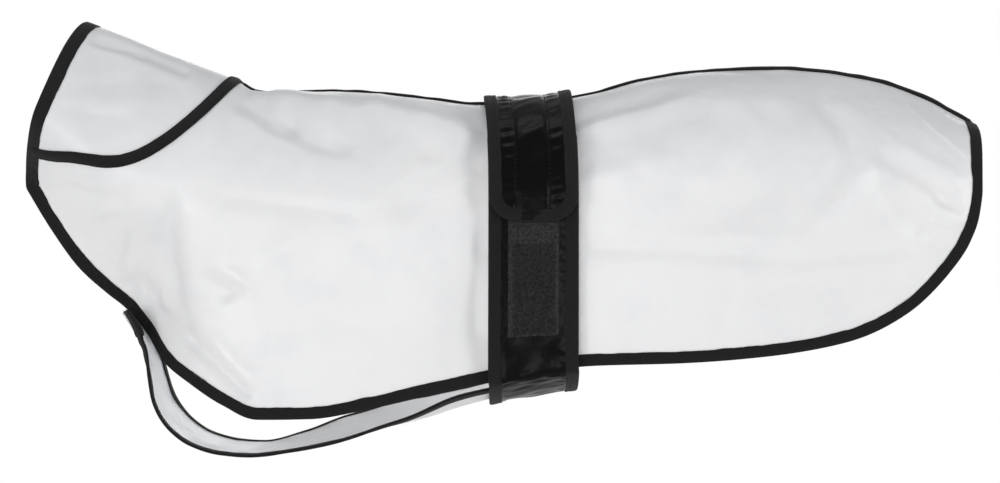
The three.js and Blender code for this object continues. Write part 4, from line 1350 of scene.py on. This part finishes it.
# The pile of the loop strip: thousands of small nylon loops that stand on its face between the woven edges,
# each leaned and sized a little at random.
LOOP_COUNT_PER_CM2 = 230
LOOP_RADIUS = 0.00042
LOOP_YARN = 0.00011


def link_all(tree, pairs):
    for (source, out_socket), (target, in_socket) in pairs:
        tree.links.new(source.outputs[out_socket], target.inputs[in_socket])


def new_tree(name, inputs):
    """Geometry node tree with a geometry in and out, and the named inputs."""
    tree = bpy.data.node_groups.new(name, "GeometryNodeTree")
    tree.interface.new_socket("Geometry", in_out="INPUT", socket_type="NodeSocketGeometry")
    for label, kind in inputs:
        tree.interface.new_socket(label, in_out="INPUT", socket_type=kind)
    tree.interface.new_socket("Geometry", in_out="OUTPUT", socket_type="NodeSocketGeometry")
    return tree


def grown(carrier, tree, values, name, finish):
    """Runs a tree on a carrier mesh and keeps its plain result as a piece of the coat."""
    modifier = carrier.modifiers.new("grow", "NODES")
    modifier.node_group = tree
    for item in tree.interface.items_tree:
        if item.in_out == "INPUT" and item.name in values:
            modifier[item.identifier] = values[item.name]
    depsgraph = bpy.context.evaluated_depsgraph_get()
    mesh = bpy.data.meshes.new_from_object(carrier.evaluated_get(depsgraph))
    mesh.name = name
    carrier.modifiers.clear()
    bpy.data.objects.remove(carrier)
    piece = bpy.data.objects.new(name, mesh)
    bpy.context.scene.collection.objects.link(piece)
    if not mesh.materials:
        mesh.materials.append(finish)
    mesh.polygons.foreach_set("use_smooth", np.ones(len(mesh.polygons), bool))
    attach(piece, "root")
    return piece


def loop_tree():
    """Small standing loops scattered over a face."""
    tree = new_tree(
        "pile_loops",
        (("Density", "NodeSocketFloat"), ("Radius", "NodeSocketFloat"), ("Yarn", "NodeSocketFloat")),
    )
    nodes = tree.nodes
    given = nodes.new("NodeGroupInput")
    result = nodes.new("NodeGroupOutput")
    scatter = nodes.new("GeometryNodeDistributePointsOnFaces")
    scatter.inputs["Seed"].default_value = 4
    arc = nodes.new("GeometryNodeCurveArc")
    arc.inputs["Resolution"].default_value = 6
    arc.inputs["Start Angle"].default_value = -0.5
    arc.inputs["Sweep Angle"].default_value = math.pi + 1.0
    stand = nodes.new("GeometryNodeTransform")
    stand.inputs["Rotation"].default_value = (math.pi / 2, 0, 0)
    yarn = nodes.new("GeometryNodeCurvePrimitiveCircle")
    yarn.inputs["Resolution"].default_value = 3
    thread = nodes.new("GeometryNodeCurveToMesh")
    place = nodes.new("GeometryNodeInstanceOnPoints")
    turn = nodes.new("FunctionNodeRandomValue")
    turn.data_type = "FLOAT_VECTOR"
    turn.inputs["Min"].default_value = (-0.5, -0.5, -0.6)
    turn.inputs["Max"].default_value = (0.5, 0.5, 0.6)
    turn.inputs["Seed"].default_value = 7
    lean = nodes.new("FunctionNodeRotateRotation")
    lean.rotation_space = "LOCAL"
    size = nodes.new("FunctionNodeRandomValue")
    size.data_type = "FLOAT"
    size.inputs[2].default_value = 0.7
    size.inputs[3].default_value = 1.3
    size.inputs["Seed"].default_value = 9
    real = nodes.new("GeometryNodeRealizeInstances")
    paint = nodes.new("GeometryNodeSetMaterial")
    paint.inputs["Material"].default_value = pile
    link_all(
        tree,
        (
            ((given, "Geometry"), (scatter, "Mesh")),
            ((given, "Density"), (scatter, "Density")),
            ((given, "Radius"), (arc, "Radius")),
            ((given, "Yarn"), (yarn, "Radius")),
            ((arc, "Curve"), (stand, "Geometry")),
            ((stand, "Geometry"), (thread, "Curve")),
            ((yarn, "Curve"), (thread, "Profile Curve")),
            ((scatter, "Points"), (place, "Points")),
            ((scatter, "Rotation"), (lean, "Rotation")),
            ((turn, "Value"), (lean, "Rotate By")),
            ((lean, "Rotation"), (place, "Rotation")),
            ((thread, "Mesh"), (place, "Instance")),
            ((place, "Instances"), (real, "Geometry")),
            ((real, "Geometry"), (paint, "Geometry")),
            ((paint, "Geometry"), (result, "Geometry")),
        ),
    )
    tree.links.new(size.outputs[1], place.inputs["Scale"])
    return tree


PILE_HALF = 12.2
PILE_TURNS = (0.62, LOOP_TURNS[1] - 0.004)
x, turn = np.meshgrid(
    np.linspace(-PILE_HALF, PILE_HALF, 14), np.linspace(*PILE_TURNS, 60), indexing="ij"
)
field_points = belt_point(x, turn, BELT + STRIP_BASE + 0 * x)
field_mesh = bpy.data.meshes.new("pile_field")
field_index = np.arange(x.size).reshape(x.shape)
field_mesh.from_pydata((field_points.reshape(-1, 3) * MM).tolist(), [], quads(field_index, True).tolist())
field = bpy.data.objects.new("pile_field", field_mesh)
bpy.context.scene.collection.objects.link(field)
grown(
    field,
    loop_tree(),
    {"Density": LOOP_COUNT_PER_CM2 * 1e4, "Radius": LOOP_RADIUS, "Yarn": LOOP_YARN},
    "loop_pile",
    pile,
)

# The sewing. Lockstitch in black thread along every tape, down both sides of
# the closure strips and round the end of the flap.
STITCH_PITCH = 0.0027
STITCH_LENGTH = 0.0020
STITCH_WIDTH = 0.00042


def thread_finish():
    """Black polyester thread, a little shinier than the tape."""
    finish = Finish("black_thread", Specular_IOR_Level=0.3, Sheen_Weight=0.0)
    ply = finish.noise(finish.place(), 2400.0, 1.0)
    colour = finish.mixed(ply, (0.003, 0.003, 0.0036, 1.0), (0.013, 0.013, 0.0145, 1.0))
    return finish.feed(Base_Color=colour, Roughness=0.45 + ply * 0.2)


thread = thread_finish()


def stitch_tree():
    """One small bead of thread at every pitch along each line, turned with the line and the cloth."""
    tree = new_tree(
        "lockstitch",
        (("Pitch", "NodeSocketFloat"), ("Length", "NodeSocketFloat"), ("Width", "NodeSocketFloat")),
    )
    nodes = tree.nodes
    given = nodes.new("NodeGroupInput")
    result = nodes.new("NodeGroupOutput")
    line = nodes.new("GeometryNodeMeshToCurve")
    spaced = nodes.new("GeometryNodeResampleCurve")
    spaced.mode = "LENGTH"
    tangent = nodes.new("GeometryNodeInputTangent")
    normal = nodes.new("GeometryNodeInputNamedAttribute")
    normal.data_type = "FLOAT_VECTOR"
    normal.inputs["Name"].default_value = "cloth_normal"
    forward = nodes.new("FunctionNodeAlignRotationToVector")
    forward.axis = "X"
    upward = nodes.new("FunctionNodeAlignRotationToVector")
    upward.axis = "Z"
    upward.pivot_axis = "X"
    bead = nodes.new("GeometryNodeMeshUVSphere")
    bead.inputs["Segments"].default_value = 6
    bead.inputs["Rings"].default_value = 4
    bead.inputs["Radius"].default_value = 0.5
    size = nodes.new("ShaderNodeCombineXYZ")
    shaped = nodes.new("GeometryNodeTransform")
    place = nodes.new("GeometryNodeInstanceOnPoints")
    real = nodes.new("GeometryNodeRealizeInstances")
    paint = nodes.new("GeometryNodeSetMaterial")
    paint.inputs["Material"].default_value = thread
    link_all(
        tree,
        (
            ((given, "Geometry"), (line, "Mesh")),
            ((line, "Curve"), (spaced, "Curve")),
            ((given, "Pitch"), (spaced, "Length")),
            ((tangent, "Tangent"), (forward, "Vector")),
            ((forward, "Rotation"), (upward, "Rotation")),
            ((normal, "Attribute"), (upward, "Vector")),
            ((given, "Length"), (size, "X")),
            ((given, "Width"), (size, "Y")),
            ((given, "Width"), (size, "Z")),
            ((bead, "Mesh"), (shaped, "Geometry")),
            ((size, "Vector"), (shaped, "Scale")),
            ((spaced, "Curve"), (place, "Points")),
            ((shaped, "Geometry"), (place, "Instance")),
            ((upward, "Rotation"), (place, "Rotation")),
            ((place, "Instances"), (real, "Geometry")),
            ((real, "Geometry"), (paint, "Geometry")),
            ((paint, "Geometry"), (result, "Geometry")),
        ),
    )
    return tree


lockstitch = stitch_tree()


def sew(name, lines, width):
    """Stitches along lines given as points and cloth normals."""
    points = np.concatenate([point for point, _ in lines])
    normals = np.concatenate([normal for _, normal in lines])
    edges, start = [], 0
    for point, _ in lines:
        edges += [(start + i, start + i + 1) for i in range(len(point) - 1)]
        start += len(point)
    mesh = bpy.data.meshes.new(name + "_path")
    mesh.from_pydata((points * MM).tolist(), edges, [])
    attribute = mesh.attributes.new("cloth_normal", "FLOAT_VECTOR", "POINT")
    attribute.data.foreach_set("vector", normals.astype(np.float32).ravel())
    carrier = bpy.data.objects.new(name + "_path", mesh)
    bpy.context.scene.collection.objects.link(carrier)
    values = {"Pitch": STITCH_PITCH, "Length": STITCH_LENGTH, "Width": width}
    return grown(carrier, lockstitch, values, name, thread)


def belt_line(x, turn, height):
    """Line of sewing on the belt."""
    x, turn = np.broadcast_arrays(np.asarray(x, float), np.asarray(turn, float))
    lift = satin_height(x, turn) + BELT + height
    return belt_point(x, turn, lift), belt_normal(x, turn)


sew("tape_stitching", stitch_lines, STITCH_WIDTH)

u_turn = 3.468
left_line, right_line = FLAP_LINES
down_turns = np.linspace(3.02, u_turn, 120)
u_angles = np.linspace(0, math.pi / 2, 12)
u_radius = 4.0
belt_lines.append(belt_line(left_line, down_turns, 0.12))
belt_lines.append(belt_line(right_line, down_turns, 0.12))
corner_x = u_radius * (1 - np.cos(u_angles))
corner_turns = u_turn + u_radius * np.sin(u_angles) / GIRTH_UNIT
u_x = np.concatenate([left_line + corner_x, right_line - corner_x[::-1]])
u_turns = np.concatenate([corner_turns, corner_turns[::-1]])
belt_lines.append(belt_line(u_x, u_turns, 0.12))
for x_place in (-9.6, 12.4):
    turns = np.linspace(LOOP_TURNS[0], LOOP_TURNS[1] - 0.01, 80)
    belt_lines.append(belt_line(x_place, turns, STRIP_BASE + 0.15))
sew("belt_stitching", belt_lines, STITCH_WIDTH)
